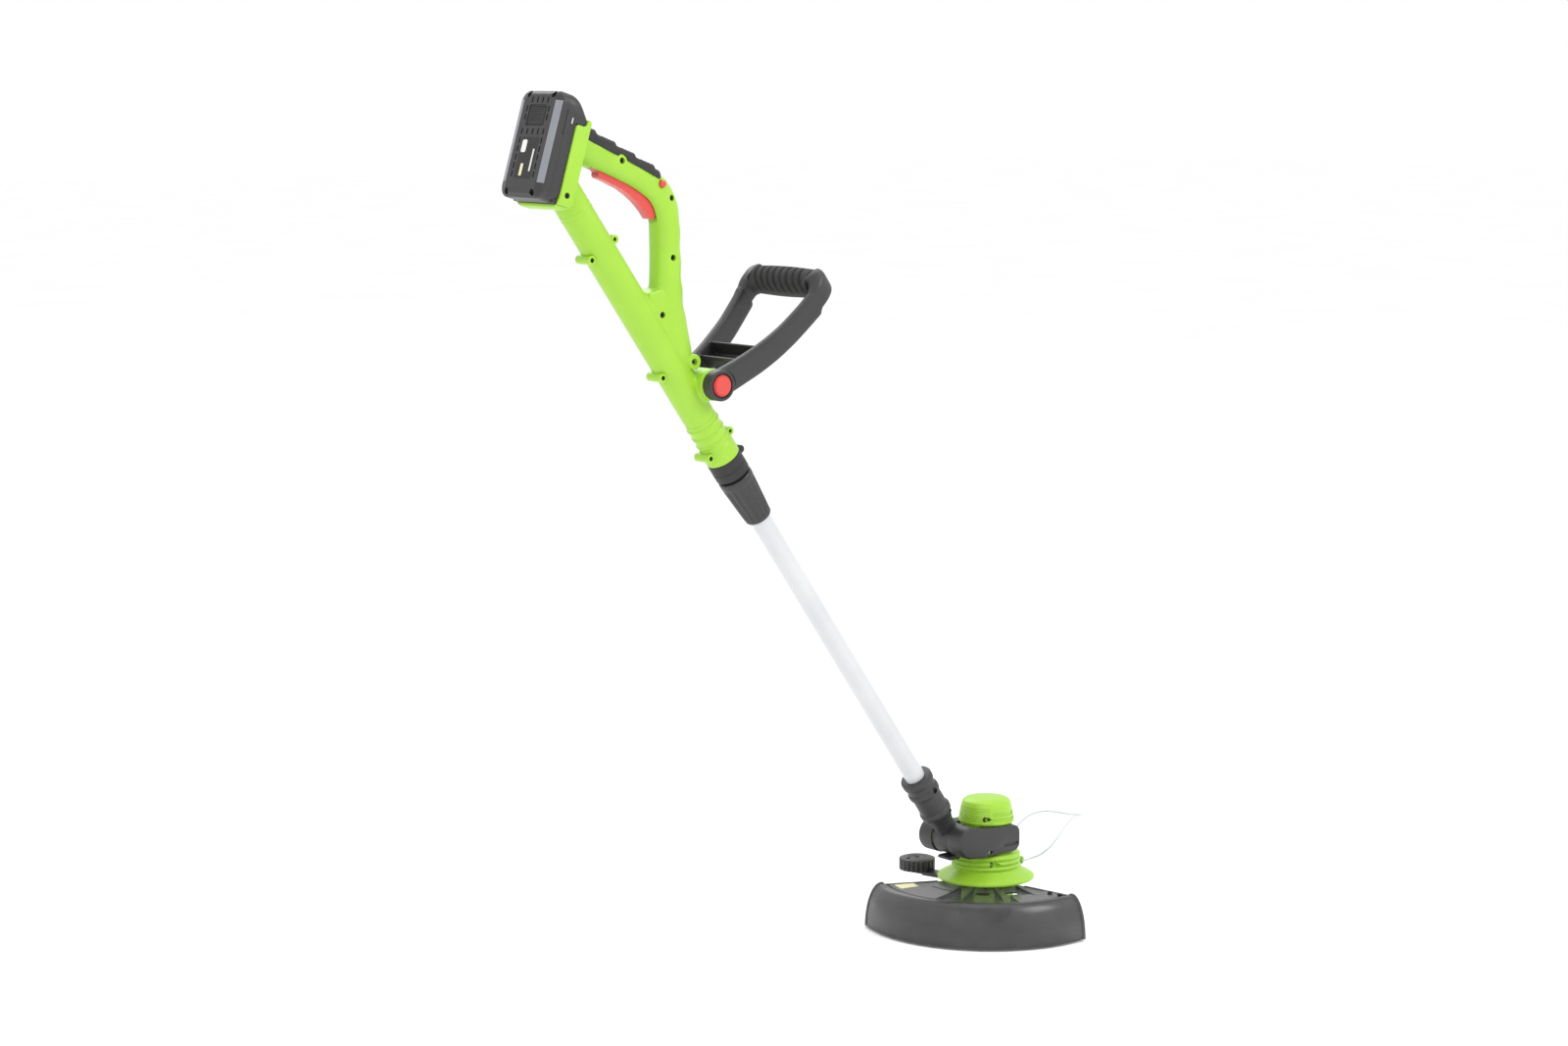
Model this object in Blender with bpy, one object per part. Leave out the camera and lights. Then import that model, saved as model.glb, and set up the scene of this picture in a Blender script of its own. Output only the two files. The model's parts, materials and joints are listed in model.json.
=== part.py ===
"""Battery string trimmer, built as the separate pieces it comes apart into.

Frame: +X forward from the handle to the cutting head, +Y to the tool's left, +Z up.
The origin is the centre of the spool cap's flat face, on the spin axis, at floor level.
Lengths in this file are millimetres; MM turns them into Blender's metres.
"""
import math

import bmesh
import bpy
from mathutils import Matrix, Vector

MM = 0.001
GAP = 0.3

# Shaft: a straight tube that leans back from the tilt axis of the head.
LEAN = 35.5
TILT_X, TILT_Z = -55.0, 108.0
TUBE_R, TUBE_BORE_R = 12.0, 10.8
TUBE_LOW, TUBE_TOP = 48.0, 770.0
BORE_R = 15.0
HANDLE_R = 18.5
HANDLE_LOW, HANDLE_TOP = 590.0, 978.0
COLLAR_LOW = 566.5
SLEEVE_LOW, SLEEVE_TOP = 503.0, 563.0

# Rear handle: a grip that leaves the battery dock, bends down and runs into the tube housing.
WALL = 3.0
GRIP_X, GRIP_Z, GRIP_SLOPE = -540.0, 911.0, 24.3
SPLIT_GAP = 0.15

# Battery dock: the rear face of the pack leans forward at its top.
PACK_X, PACK_Z, PACK_LEAN = -651.0, 936.0, 16.9
PACK_HALF_WIDTH, PACK_HALF_LENGTH = 38.0, 57.5
DOCK_BACK, DOCK_FRONT = 25.5, 44.0

# Auxiliary handle pivot, measured along and above the shaft axis.
AUX_S, AUX_T = 676.0, 23.0
AUX_RING_R = 17.0

# Head
SPIN_R = 33.0
LINE_Z, LINE_AZIMUTH = 25.0, 238.0
SKIRT_R, SKIRT_Z = 58.0, 50.3
WAIST_R, WAIST_LOW, WAIST_TOP = 31.5, 86.0, 121.3
RIB_R = 41.0
COVER_HALF = 38.0
PIVOT_R = 18.5

# Guard: a sector measured from straight behind, towards the tool's right.
GUARD_R, GUARD_TOP_R, GUARD_Z = 149.0, 130.0, 50.0
GUARD_CREST, GUARD_LOW = 52.5, 2.0
GUARD_START, GUARD_END = 155.0, 279.0
WHEEL_X, WHEEL_Y, WHEEL_R = -25.0, 96.0, 22.0

PALETTE = {
    "green": ((0.36, 0.78, 0.05), 0.42, 0.0),
    "charcoal": ((0.055, 0.052, 0.055), 0.5, 0.0),
    "rubber": ((0.045, 0.045, 0.048), 0.75, 0.0),
    "red": ((0.85, 0.08, 0.07), 0.4, 0.0),
    "smoke": ((0.05, 0.05, 0.052), 0.2, 0.0),
    "tube": ((0.86, 0.87, 0.88), 0.3, 0.2),
    "wire": ((0.62, 0.66, 0.67), 0.35, 0.8),
    "steel": ((0.55, 0.56, 0.58), 0.3, 1.0),
    "copper": ((0.72, 0.35, 0.18), 0.4, 1.0),
    "cell": ((0.12, 0.28, 0.55), 0.45, 0.0),
    "line": ((0.9, 0.5, 0.1), 0.45, 0.0),
}


# ---------------------------------------------------------------- scene helpers

def clear_scene():
    """Remove every object that the file starts with."""
    for obj in list(bpy.data.objects):
        bpy.data.objects.remove(obj, do_unlink=True)


def frame_at(name, x, y, z, pitch=0.0):
    """An empty that carries the pieces built in its own axes."""
    empty = bpy.data.objects.new(name, None)
    empty.location = (x * MM, y * MM, z * MM)
    empty.rotation_euler = (0.0, math.radians(pitch), 0.0)
    bpy.context.collection.objects.link(empty)
    return empty


def colour(obj, swatch):
    """Give the object its own Principled material."""
    rgb, roughness, metallic = PALETTE[swatch]
    material = bpy.data.materials.new(obj.name)
    material.use_nodes = True
    shader = material.node_tree.nodes["Principled BSDF"]
    shader.inputs["Base Color"].default_value = (*rgb, 1.0)
    shader.inputs["Roughness"].default_value = roughness
    shader.inputs["Metallic"].default_value = metallic
    obj.data.materials.append(material)


def solid(name, shape, frame, swatch=None):
    """Turn a bmesh in millimetres into an object; without a swatch it is only a tool."""
    bmesh.ops.remove_doubles(shape, verts=shape.verts, dist=0.0005)
    bmesh.ops.recalc_face_normals(shape, faces=shape.faces)
    bmesh.ops.scale(shape, vec=(MM, MM, MM), verts=shape.verts)
    mesh = bpy.data.meshes.new(name)
    shape.to_mesh(mesh)
    shape.free()
    mesh.shade_smooth()
    mesh.set_sharp_from_angle(angle=math.radians(35))
    obj = bpy.data.objects.new(name, mesh)
    obj.parent = frame
    bpy.context.collection.objects.link(obj)
    if swatch:
        colour(obj, swatch)
    else:
        obj.hide_render = True
        obj.display_type = "WIRE"
    return obj


def gather(name, pieces):
    """One tool from shapes that stay clear of each other, each given with its frame."""
    combined = bmesh.new()
    for shape, frame in pieces:
        if frame:
            shape.transform(Matrix.LocRotScale(frame.location / MM, frame.rotation_euler, None))
        bmesh.ops.recalc_face_normals(shape, faces=shape.faces)
        mesh = bpy.data.meshes.new(name)
        shape.to_mesh(mesh)
        shape.free()
        combined.from_mesh(mesh)
        bpy.data.meshes.remove(mesh)
    return solid(name, combined, None)


def boolean(obj, operation, tools):
    """Add one exact Boolean for each tool."""
    for tool in tools:
        modifier = obj.modifiers.new(tool.name, "BOOLEAN")
        modifier.operation = operation
        modifier.object = tool
        modifier.solver = "EXACT"


def cut(obj, *tools):
    boolean(obj, "DIFFERENCE", tools)


def join(obj, *tools):
    boolean(obj, "UNION", tools)


def keep(obj, *tools):
    boolean(obj, "INTERSECT", tools)


# ---------------------------------------------------------------- shape helpers

def turned(profile, segments=20, axis="Z", start=0.0, end=360.0):
    """Spin (radius, height) points about the axis; the profile is closed and lists its loop once."""
    shape = bmesh.new()
    full = abs(end - start) >= 360.0
    count = segments if full else segments + 1
    rings = []
    for step in range(count):
        angle = math.radians(start + (end - start) * step / segments)
        ring = [shape.verts.new((r * math.cos(angle), r * math.sin(angle), h)) for r, h in profile]
        rings.append(ring)
    for step in range(segments):
        one, two = rings[step], rings[(step + 1) % count]
        for i in range(len(profile)):
            j = (i + 1) % len(profile)
            corners = [one[i], two[i], two[j], one[j]]
            if profile[i][0] == 0.0 and profile[j][0] == 0.0:
                continue
            if profile[i][0] == 0.0:
                corners = [one[i], two[j], one[j]]
            elif profile[j][0] == 0.0:
                corners = [one[i], two[i], one[j]]
            shape.faces.new(corners)
    if not full:
        shape.faces.new(rings[0])
        shape.faces.new(rings[-1])
    bmesh.ops.remove_doubles(shape, verts=shape.verts, dist=0.0005)
    if axis == "Y":
        bmesh.ops.rotate(shape, verts=shape.verts, matrix=Matrix.Rotation(math.radians(-90), 3, "X"))
    if axis == "X":
        bmesh.ops.rotate(shape, verts=shape.verts, matrix=Matrix.Rotation(math.radians(90), 3, "Y"))
    return shape


def disc(radius, low, high, hole=0.0):
    """Profile of a plain cylinder or ring."""
    return [(hole, low), (radius, low), (radius, high), (hole, high)]


def moved(shape, x=0.0, y=0.0, z=0.0):
    bmesh.ops.translate(shape, vec=(x, y, z), verts=shape.verts)
    return shape


def cross_rod(radius, low, high, x, z, segments=12, hole=0.0):
    """A cylinder along Y at (x, z)."""
    return moved(turned(disc(radius, low, high, hole), segments, "Y"), x=x, z=z)


def prism(outline, low, high):
    """Extrude an (x, z) outline along Y."""
    shape = bmesh.new()
    face = shape.faces.new([shape.verts.new((x, low, z)) for x, z in outline])
    grown = bmesh.ops.extrude_face_region(shape, geom=[face])
    verts = [item for item in grown["geom"] if isinstance(item, bmesh.types.BMVert)]
    bmesh.ops.translate(shape, vec=(0.0, high - low, 0.0), verts=verts)
    return shape


def upright(outline, low, high):
    """Extrude an (x, y) outline along Z."""
    shape = prism([(x, -y) for x, y in outline], low, high)
    bmesh.ops.rotate(shape, verts=shape.verts, matrix=Matrix.Rotation(math.radians(90), 3, "X"))
    return shape


def block(low, high):
    """An axis-aligned box from its two corners."""
    outline = [(low[0], low[2]), (high[0], low[2]), (high[0], high[2]), (low[0], high[2])]
    return prism(outline, low[1], high[1])


def arc(x, z, radius, start, end, steps):
    """Points on a circle, both ends included."""
    angles = [math.radians(start + (end - start) * i / steps) for i in range(steps + 1)]
    return [(x + radius * math.cos(a), z + radius * math.sin(a)) for a in angles]


def swept(path, side, sizes, sides=16, squareness=1.0):
    """A tube along the path. Its section lies across the path: one axis is `side`, and
    sizes gives (half size across side, half size along side) at each point."""
    shape = bmesh.new()
    side = Vector(side).normalized()
    rings = []
    for i, point in enumerate(path):
        ahead = path[min(i + 1, len(path) - 1)] - path[max(i - 1, 0)]
        across = side.cross(ahead).normalized()
        half_across, half_side = sizes[i]
        ring = []
        for k in range(sides):
            angle = 2 * math.pi * k / sides
            c, s = math.cos(angle), math.sin(angle)
            a = math.copysign(abs(c) ** squareness, c) * half_across
            b = math.copysign(abs(s) ** squareness, s) * half_side
            ring.append(shape.verts.new(point + across * a + side * b))
        rings.append(ring)
    for one, two in zip(rings, rings[1:]):
        for k in range(sides):
            j = (k + 1) % sides
            shape.faces.new([one[k], one[j], two[j], two[k]])
    shape.faces.new(rings[0])
    shape.faces.new(rings[-1])
    return shape


def half_space(side):
    """A box that holds everything on the tool's right (-1) or left (+1), short of the split."""
    low, high = (SPLIT_GAP, 400.0) if side > 0 else (-400.0, -SPLIT_GAP)
    return block((-900.0, low, -50.0), (400.0, high, 1200.0))


def tidy(obj):
    """Close the hairline gaps that a chain of Booleans leaves between rounded corners."""
    weld = obj.modifiers.new("weld", "WELD")
    weld.merge_threshold = 0.00002
    obj.modifiers.new("triangles", "TRIANGULATE")


def shell_pair(form, stem, swatch):
    """Split one form into its right and left shells."""
    tidy(form)
    halves = []
    for suffix, side in (("right", -1), ("left", 1)):
        half = solid(f"{stem}_{suffix}", half_space(side), None, swatch)
        keep(half, form)
        tidy(half)
        halves.append(half)
    return halves


def screw(name, frame, x, z, head_y, length, direction=1, head_r=3.1, shank_r=1.5):
    """A screw along Y: its head starts at head_y and the shank runs in `direction`."""
    head = 2.2
    profile = [(0.0, 0.0), (head_r, 0.0), (head_r, head), (shank_r, head), (shank_r, length), (0.0, length)]
    shape = turned(profile, 8, "Y")
    if direction < 0:
        bmesh.ops.rotate(shape, verts=shape.verts, matrix=Matrix.Rotation(math.pi, 3, "X"))
    return solid(name, moved(shape, x=x, y=head_y, z=z), frame, "steel")


# ---------------------------------------------------------------- rear handle

GRIP_ROUTE = [(-618, 946), (-600, 938.5), (-570, 924.5), (-540, 911), (-512, 897.5), (-489, 881),
              (-478, 858), (-476, 830), (-475.5, 800), (-475, 770), (-471, 738), (-462, 706),
              (-452, 682)]
GRIP_HALF = [(22, 19), (20, 17.5), (18.5, 16), (17, 15.5), (16.5, 15.5), (17, 15.5), (17, 15.5), (17, 15.5),
             (17.5, 15.5), (19, 15.8), (20, 16), (18, 15), (12, 12)]
BOSS_LOW = [(878.5, -19.5), (718.5, -19.5), (605.5, -20.5)]
BOSS_HIGH = [(876.5, 19.5), (707.0, 20.0), (611.0, 20.5)]
INNER_BOSSES = [(-543.0, 916.0), (-477.0, 875.0), (-476.0, 811.0), (-490.0, 750.0)]


def grip_sweep(name, inset, start=0):
    """The grip and riser as one swept body, inset by the wall for its hollow."""
    path = [Vector((x, 0.0, z)) for x, z in GRIP_ROUTE[start:]]
    sizes = [(across - inset, side - inset) for across, side in GRIP_HALF[start:]]
    return solid(name, swept(path, (0.0, 1.0, 0.0), sizes, 12, 0.9), None)


def tube_housing_profile():
    """Outline of the tube housing: a wide mouth, three ring ribs and a plain barrel."""
    profile = [(0.0, HANDLE_LOW), (20.0, HANDLE_LOW), (20.0, 608.0), (18.0, 611.0)]
    for ring in (616.0, 627.0, 638.0):
        profile += [(18.0, ring - 2.5), (19.4, ring - 1.2), (19.4, ring + 1.2), (18.0, ring + 2.5)]
    profile += [(HANDLE_R, 648.0), (HANDLE_R, HANDLE_TOP), (0.0, HANDLE_TOP)]
    return profile


def dock_outline():
    """Side outline of the battery dock, rear face of the pack at x = 0."""
    return [(12.0, -58.2), (14.5, -59.8), (22.0, -61.5), (34.0, -61.5), (41.0, -59.0), (DOCK_FRONT, -52.0),
            (DOCK_FRONT, 32.0), (41.5, 36.5), (38.5, 36.5), (38.5, 28.3), (DOCK_BACK, 28.3),
            (DOCK_BACK, -52.0), (20.0, -58.0)]


def pack_room():
    """The space that the battery slides through: wide behind the dock's walls, narrow between them."""
    back = DOCK_BACK - 0.3
    outline = [(-9.0, -60.0), (back, -60.0), (back, -35.5), (40.0, -35.5), (40.0, 35.5), (back, 35.5), (back, 60.0),
               (-9.0, 60.0)]
    return upright(outline, -57.8, 90.0)


def trigger_slot():
    """Room for the trigger to swing up into the grip."""
    outline = [(-35.0, -34.0), (-34.5, -8.0), (-20.0, -7.5), (10.0, -5.2), (40.0, -4.0), (60.0, -6.8),
               (68.6, -12.0), (68.6, -44.0)]
    return prism(outline, -7.6, 7.6)


def housing_form(shaft, dock, grip, aux):
    """The whole green handle in one piece, with its hollows, before it is split."""
    form = solid("housing_form", turned(tube_housing_profile(), 20), shaft)
    web = [(-508.0, 770.0), (-492.0, 772.0), (-472.0, 740.0), (-459.0, 712.0), (-474.0, 706.0), (-500.0, 742.0)]
    join(form, grip_sweep("grip_outer", 0.0), solid("crotch_web", prism(web, -14.6, 14.6), None))
    low_bosses = [(cross_rod(5.0, -12.5, 12.5, t, s, 10), shaft) for s, t in BOSS_LOW]
    high_bosses = [(cross_rod(4.8, -8.0, 8.0, t, s, 10), shaft) for s, t in BOSS_HIGH]
    aux_boss = (cross_rod(17.5, -25.4, 25.4, 0.0, 0.0, 20), aux)
    dock_body = (prism(dock_outline(), -39.5, 39.5), dock)
    join(form, gather("outer_lugs", [aux_boss, dock_body] + low_bosses + high_bosses))
    room = [(-497.0, 762.0), (-490.0, 764.0), (-476.0, 738.0), (-466.0, 716.0), (-477.0, 716.0), (-494.0, 742.0)]
    cut(form, grip_sweep("grip_hollow", WALL, 1), solid("crotch_room", prism(room, -11.2, 11.2), None))
    posts = [(cross_rod(4.6, -13.5, 13.5, x, z, 8), None) for x, z in INNER_BOSSES]
    join(form, gather("screw_posts", posts))
    cut(form, gather("wide_rooms", [(pack_room(), dock), (trigger_slot(), grip)]))
    cut(form, solid("tube_bore", turned(disc(BORE_R, HANDLE_LOW - 8.0, HANDLE_TOP - 8.0), 20), shaft))
    cut(form, gather("handle_holes", handle_holes(shaft, dock, grip, aux)))
    return form


def screw_hole(x, z, face, floor, deep):
    """A counterbored hole along Y: wide from outside the face to the floor, narrow to its end."""
    profile = [(0.0, face), (3.5, face), (3.5, floor), (1.8, floor), (1.8, deep), (0.0, deep)]
    return moved(turned(profile, 8, "Y"), x=x, z=z)


def handle_holes(shaft, dock, grip, aux):
    """Screw holes, button holes, the trigger pin's hole and the terminal window."""
    holes = [(screw_hole(x, z, -22.0, -10.3, 11.0), None) for x, z in INNER_BOSSES]
    holes += [(screw_hole(t, s, -16.0, -8.7, 9.0), shaft) for s, t in BOSS_LOW]
    holes += [(cross_rod(1.8, -9.0, 6.0, t, s, 8), shaft) for s, t in BOSS_HIGH]
    holes.append((cross_rod(4.4, -25.0, 25.0, 53.5, 1.5, 12), grip))
    holes.append((cross_rod(6.4, -30.0, 30.0, 0.0, 0.0, 16), aux))
    holes.append((cross_rod(1.8, -12.5, 12.5, -26.0, -14.5, 10), grip))
    holes.append((block((36.0, -12.3, -10.3), (50.0, 12.3, 10.3)), dock))
    return holes


def make_grip_pads(grip):
    """Soft pads let into the top of the grip, one in each shell."""
    path = [Vector((-57.0, 0.0, 2.0)), Vector((-20.0, 0.0, 0.6)), Vector((5.0, 0.0, 0.0)),
            Vector((30.0, 0.0, -0.6)), Vector((50.0, 0.0, -1.5))]
    outer = [(19.5, 17.2)] * len(path)
    inner = [(18.2, 16.6)] * len(path)
    pad = solid("pad_form", swept(path, (0.0, 1.0, 0.0), outer, 20), grip)
    hollow_path = [path[0] - Vector((2.0, 0.0, 0.0))] + path[1:-1] + [path[-1] + Vector((2.0, 0.0, 0.0))]
    hollow = solid("pad_hollow", swept(hollow_path, (0.0, 1.0, 0.0), inner, 20), grip)
    region = solid("pad_region", block((-56.0, -30.0, 5.5), (49.0, 30.0, 40.0)), grip)
    cut(pad, hollow)
    keep(pad, region)
    return pad


def make_rear_handle(shaft, dock, grip, aux):
    form = housing_form(shaft, dock, grip, aux)
    pads = make_grip_pads(grip)
    cutter = solid("pad_seat", block((-56.3, -40.0, 5.2), (49.3, 40.0, 40.0)), grip)
    seat = solid("pad_seat_core", swept([Vector((-60.0, 0.0, 2.0)), Vector((3.0, 0.0, 0.0)),
                                         Vector((60.0, 0.0, -2.0))],
                                        (0.0, 1.0, 0.0), [(15.9, 14.4)] * 3, 20), grip)
    cut(cutter, seat)
    return form, pads, cutter


def make_handle_shells(form, seat):
    tidy(form)
    cut(form, seat)
    shell_pair(form, "housing", "green")


def make_handle_insides(shaft, dock, grip, aux):
    """Switch, springs, pins, terminals, collar and collet."""
    solid("terminal_block", block((31.0, -12.0, -10.0), (47.0, 12.0, 10.0)), dock, "charcoal")
    solid("trigger_switch", block((8.0, -6.0, -1.5), (34.0, 6.0, 9.0)), grip, "charcoal")
    solid("trigger_pin", cross_rod(1.5, -12.2, 12.2, -26.0, -14.5, 10), grip, "steel")
    spring = turned([(2.0, 0.0), (3.6, 0.0), (3.6, 6.0), (2.0, 6.0)], 10)
    solid("trigger_spring", moved(spring, x=-10.0, z=-8.8), grip, "steel")
    make_collar(shaft)
    collet = [(12.3, 530.0), (14.4, 528.6), (15.5, 534.0), (15.5, 566.2), (12.3, 566.2)]
    solid("clamp_collet", turned(collet), shaft, "charcoal")
    solid("aux_spring", cross_rod(4.6, -8.0, 8.0, 0.0, 0.0, 12, 3.2), aux, "steel")


def make_collar(shaft):
    """Black ring under the green mouth, with the lug that stops the tube turning."""
    collar = solid("shaft_collar", turned(disc(20.0, COLLAR_LOW, 589.7, 12.4)), shaft, "charcoal")
    join(collar, solid("collar_lug", cross_rod(4.5, -6.0, 6.0, 21.5, 584.0, 10), shaft))
    cut(collar, solid("collar_bore", turned(disc(12.4, 560.0, 595.0)), shaft))


def make_handle_screws(shaft):
    for index, (x, z) in enumerate(INNER_BOSSES):
        screw(f"housing_screw_{index + 1}", None, x, z, -12.8, 20.0)
    for index, (s, t) in enumerate((BOSS_LOW[0], BOSS_LOW[2])):
        screw(f"housing_screw_{index + 5}", shaft, t, s, -11.2, 18.0)


def make_trigger(pivot):
    """Red lever under the grip; its frame is its hinge pin."""
    lower = [(-5.0, -4.5), (2.5, -5.0), (5.5, -8.2), (15.0, -8.4), (39.0, -9.4), (62.0, -13.8), (78.0, -19.0),
             (86.0, -22.5), (91.0, -19.0)]
    upper = [(91.5, -10.0), (84.0, -2.5), (66.0, 2.0), (36.0, 4.5), (8.0, 4.6), (0.0, 4.6), (-4.5, 4.0),
             (-6.5, -2.0)]
    trigger = solid("trigger", prism(lower + upper, -7.0, 7.0), pivot, "red")
    cut(trigger, solid("trigger_bore", cross_rod(1.8, -9.0, 9.0, 0.0, 0.0, 12), pivot))


def make_lock_button(centre):
    profile = [(0.0, -18.6), (3.0, -18.6), (4.0, -17.6), (4.0, 17.6), (3.0, 18.6), (0.0, 18.6)]
    solid("lock_button", turned(profile, 12, "Y"), centre, "red")


# ---------------------------------------------------------------- auxiliary handle

AUX_ROUTE = [(14.0, -1.0, 33.0), (30.0, -3.0, 37.5), (50.0, -4.5, 42.5), (72.0, -4.5, 48.0), (95.0, -3.0, 53.0),
             (116.0, 0.0, 57.5), (133.0, 4.5, 61.0), (147.0, 9.5, 63.0), (155.0, 12.5, 61.5), (159.5, 15.0, 57.5),
             (160.5, 15.5, 52.0), (160.5, 15.5, 20.0), (160.5, 15.5, 0.0)]
AUX_HALF = [(6.5, 15.0), (5.8, 14.6), (5.5, 14.3), (5.5, 14.0), (5.8, 13.2), (6.3, 12.8), (7.5, 12.8), (10.0, 13.2),
            (12.0, 13.4), (11.5, 13.0), (8.0, 8.0), (8.0, 8.0), (8.0, 8.0)]
AUX_GRIP_HALF = 50.0


def aux_sweep(aux):
    """One U-shaped bar from the right pivot, over the grip, to the left pivot.

    Routes are (away from the shaft, along the shaft, to the right) from the pivot.
    """
    right = [(t, -y, s) for t, s, y in AUX_ROUTE]
    left = [(t, y, s) for t, s, y in AUX_ROUTE[-2::-1]]
    path = [Vector(point) for point in right + left]
    sizes = AUX_HALF + AUX_HALF[-2::-1]
    return solid("aux_frame", swept(path, (0.0, 0.0, 1.0), sizes, 12, 0.75), aux, "charcoal")


def make_aux_handle(aux):
    """U-frame with its pivot rings, cross channel and tab, and the grip over its bar."""
    frame = aux_sweep(aux)
    for side in (-1, 1):
        low, high = sorted((side * 26.0, side * 40.0))
        join(frame, solid("aux_ring", cross_rod(AUX_RING_R, low, high, 0.0, 0.0, 20), aux))
    channel = [(36.5, 6.0), (36.5, -12.5), (63.0, -12.5), (63.0, 6.0), (60.0, 6.0), (59.5, -9.5), (40.0, -9.5),
               (39.5, 6.0)]
    join(frame, solid("aux_channel", prism(channel, -42.0, 42.0), aux))
    tab = [(27.0, -13.0), (37.0, -12.0), (37.0, 3.0), (31.0, -4.0)]
    join(frame, solid("aux_tab", prism(tab, -8.0, 8.0), aux))
    clear = [(-19.0, -19.0), (24.5, -19.0), (24.5, 19.0), (-19.0, 19.0)]
    cut(frame, solid("aux_clear", prism(clear, -25.8, 25.8), aux))
    for side in (-1, 1):
        low, high = sorted((side * 28.5, side * 48.0))
        cut(frame, solid("aux_socket", cross_rod(12.0, low, high, 0.0, 0.0, 20), aux))
        low, high = sorted((side * 40.3, side * 60.0))
        cut(frame, solid("aux_face", cross_rod(17.4, low, high, 0.0, 0.0, 20), aux))
    cut(frame, solid("aux_bore", cross_rod(6.4, -50.0, 50.0, 0.0, 0.0, 16), aux))
    profile = [(9.0, -AUX_GRIP_HALF), (14.5, -AUX_GRIP_HALF), (16.6, -34.0), (17.0, 0.0), (16.6, 34.0),
               (14.5, AUX_GRIP_HALF), (9.0, AUX_GRIP_HALF)]
    grip = turned(profile, 16, "Y")
    t, s, _ = AUX_ROUTE[-1]
    solid("aux_grip", moved(grip, x=t, z=s), aux, "rubber")


def make_aux_buttons(aux):
    """Toothed red buttons that lock the handle to its boss."""
    for name, side in (("aux_button_right", -1), ("aux_button_left", 1)):
        profile = [(0.0, 12.5), (6.0, 12.5), (6.0, 33.0), (11.6, 33.0), (11.6, 40.4), (10.4, 41.6), (0.0, 41.6)]
        shape = turned(profile, 20, "Y")
        if side < 0:
            bmesh.ops.rotate(shape, verts=shape.verts, matrix=Matrix.Rotation(math.pi, 3, "X"))
        solid(name, shape, aux, "red")


# ---------------------------------------------------------------- shaft and neck

def make_shaft(shaft):
    tube = disc(TUBE_R, TUBE_LOW, TUBE_TOP, TUBE_BORE_R)
    solid("tube", turned(tube), shaft, "tube")
    solid("tube_bush", turned(disc(BORE_R - GAP, 742.0, 766.0, TUBE_R + 0.2)), shaft, "charcoal")
    sleeve = [(12.5, SLEEVE_LOW), (15.2, SLEEVE_LOW), (16.6, SLEEVE_LOW + 2.0), (19.8, SLEEVE_TOP - 2.0),
              (19.8, SLEEVE_TOP), (15.9, SLEEVE_TOP), (15.9, 526.0), (12.5, 524.0)]
    solid("twist_sleeve", turned(sleeve), shaft, "charcoal")


def make_neck(shaft):
    """Clamshell neck: ribbed socket for the tube, narrowing to the tilt barrel."""
    outer = [(0.0, 10.0), (12.5, 10.0), (13.0, 25.0), (17.0, 42.0), (19.0, 43.5), (19.0, 49.0), (17.3, 50.5),
             (17.3, 73.5), (19.0, 75.0), (19.0, 81.0), (17.3, 82.5), (17.3, 90.0), (19.0, 91.5),
             (19.0, 99.0), (18.0, 100.0), (0.0, 100.0)]
    form = solid("neck_form", turned(outer), shaft)
    barrel = solid("neck_barrel", cross_rod(PIVOT_R, -13.9, 13.9, 0.0, 0.0, 20), shaft)
    join(form, barrel)
    cut(form, solid("neck_socket", turned(disc(TUBE_R + 0.2, 47.5, 110.0)), shaft))
    cut(form, solid("neck_duct", turned(disc(6.0, 14.0, 60.0), 12), shaft))
    cut(form, solid("neck_pivot_bore", cross_rod(4.4, -20.0, 20.0, 0.0, 0.0, 12), shaft))
    cut(form, solid("neck_hole_1", cross_rod(1.8, -30.0, -11.0, 3.0, 79.0, 8), shaft))
    cut(form, solid("neck_sink_1", cross_rod(3.4, -30.0, -15.2, 3.0, 79.0, 8), shaft))
    cut(form, solid("neck_hole_2", cross_rod(1.8, -30.0, 12.0, 10.0, 38.0, 8), shaft))
    cut(form, solid("neck_sink_2", cross_rod(3.4, -30.0, -10.0, 10.0, 38.0, 8), shaft))
    shell_pair(form, "neck", "charcoal")
    screw("neck_screw_1", shaft, 3.0, 79.0, -17.6, 5.2)
    screw("neck_screw_2", shaft, 10.0, 38.0, -12.5, 22.0)


# ---------------------------------------------------------------- head

def head_profile():
    """Green motor housing: flared skirt, ribs, waist and vented cap, with its inner shelf."""
    outer = [(0.0, 152.4), (18.0, 151.6), (25.0, 150.0), (28.6, 146.8), (30.0, 142.0), (32.0, 132.0),
             (33.5, WAIST_TOP + 0.4), (WAIST_R, WAIST_TOP), (WAIST_R, WAIST_LOW), (39.5, 84.5)]
    for low in (78.5, 72.5, 66.5):
        outer += [(RIB_R, low + 4.5), (RIB_R, low + 1.0), (39.5, low)]
    outer += [(41.5, 62.5), (48.0, 58.5), (SKIRT_R, 53.0), (SKIRT_R, SKIRT_Z)]
    inner = [(55.5, SKIRT_Z), (47.0, 55.8), (38.0, 60.0), (37.0, 69.5), (8.0, 69.5), (8.0, 73.0),
             (28.8, 73.0), (28.8, 121.0), (30.8, 122.5), (26.3, 143.0), (21.0, 148.0), (0.0, 150.0)]
    return outer + inner


def racetrack(low, high, rear, front):
    """Side-cover outline: round at the tilt axis, blunt at the front."""
    return (arc(TILT_X, TILT_Z, rear, 100, 260, 8) + [(TILT_X + 14, low), (front - 8, low + 1.5), (front, low + 9),
            (front, high - 9), (front - 8, high - 1.0), (TILT_X + 17, high)])


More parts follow.
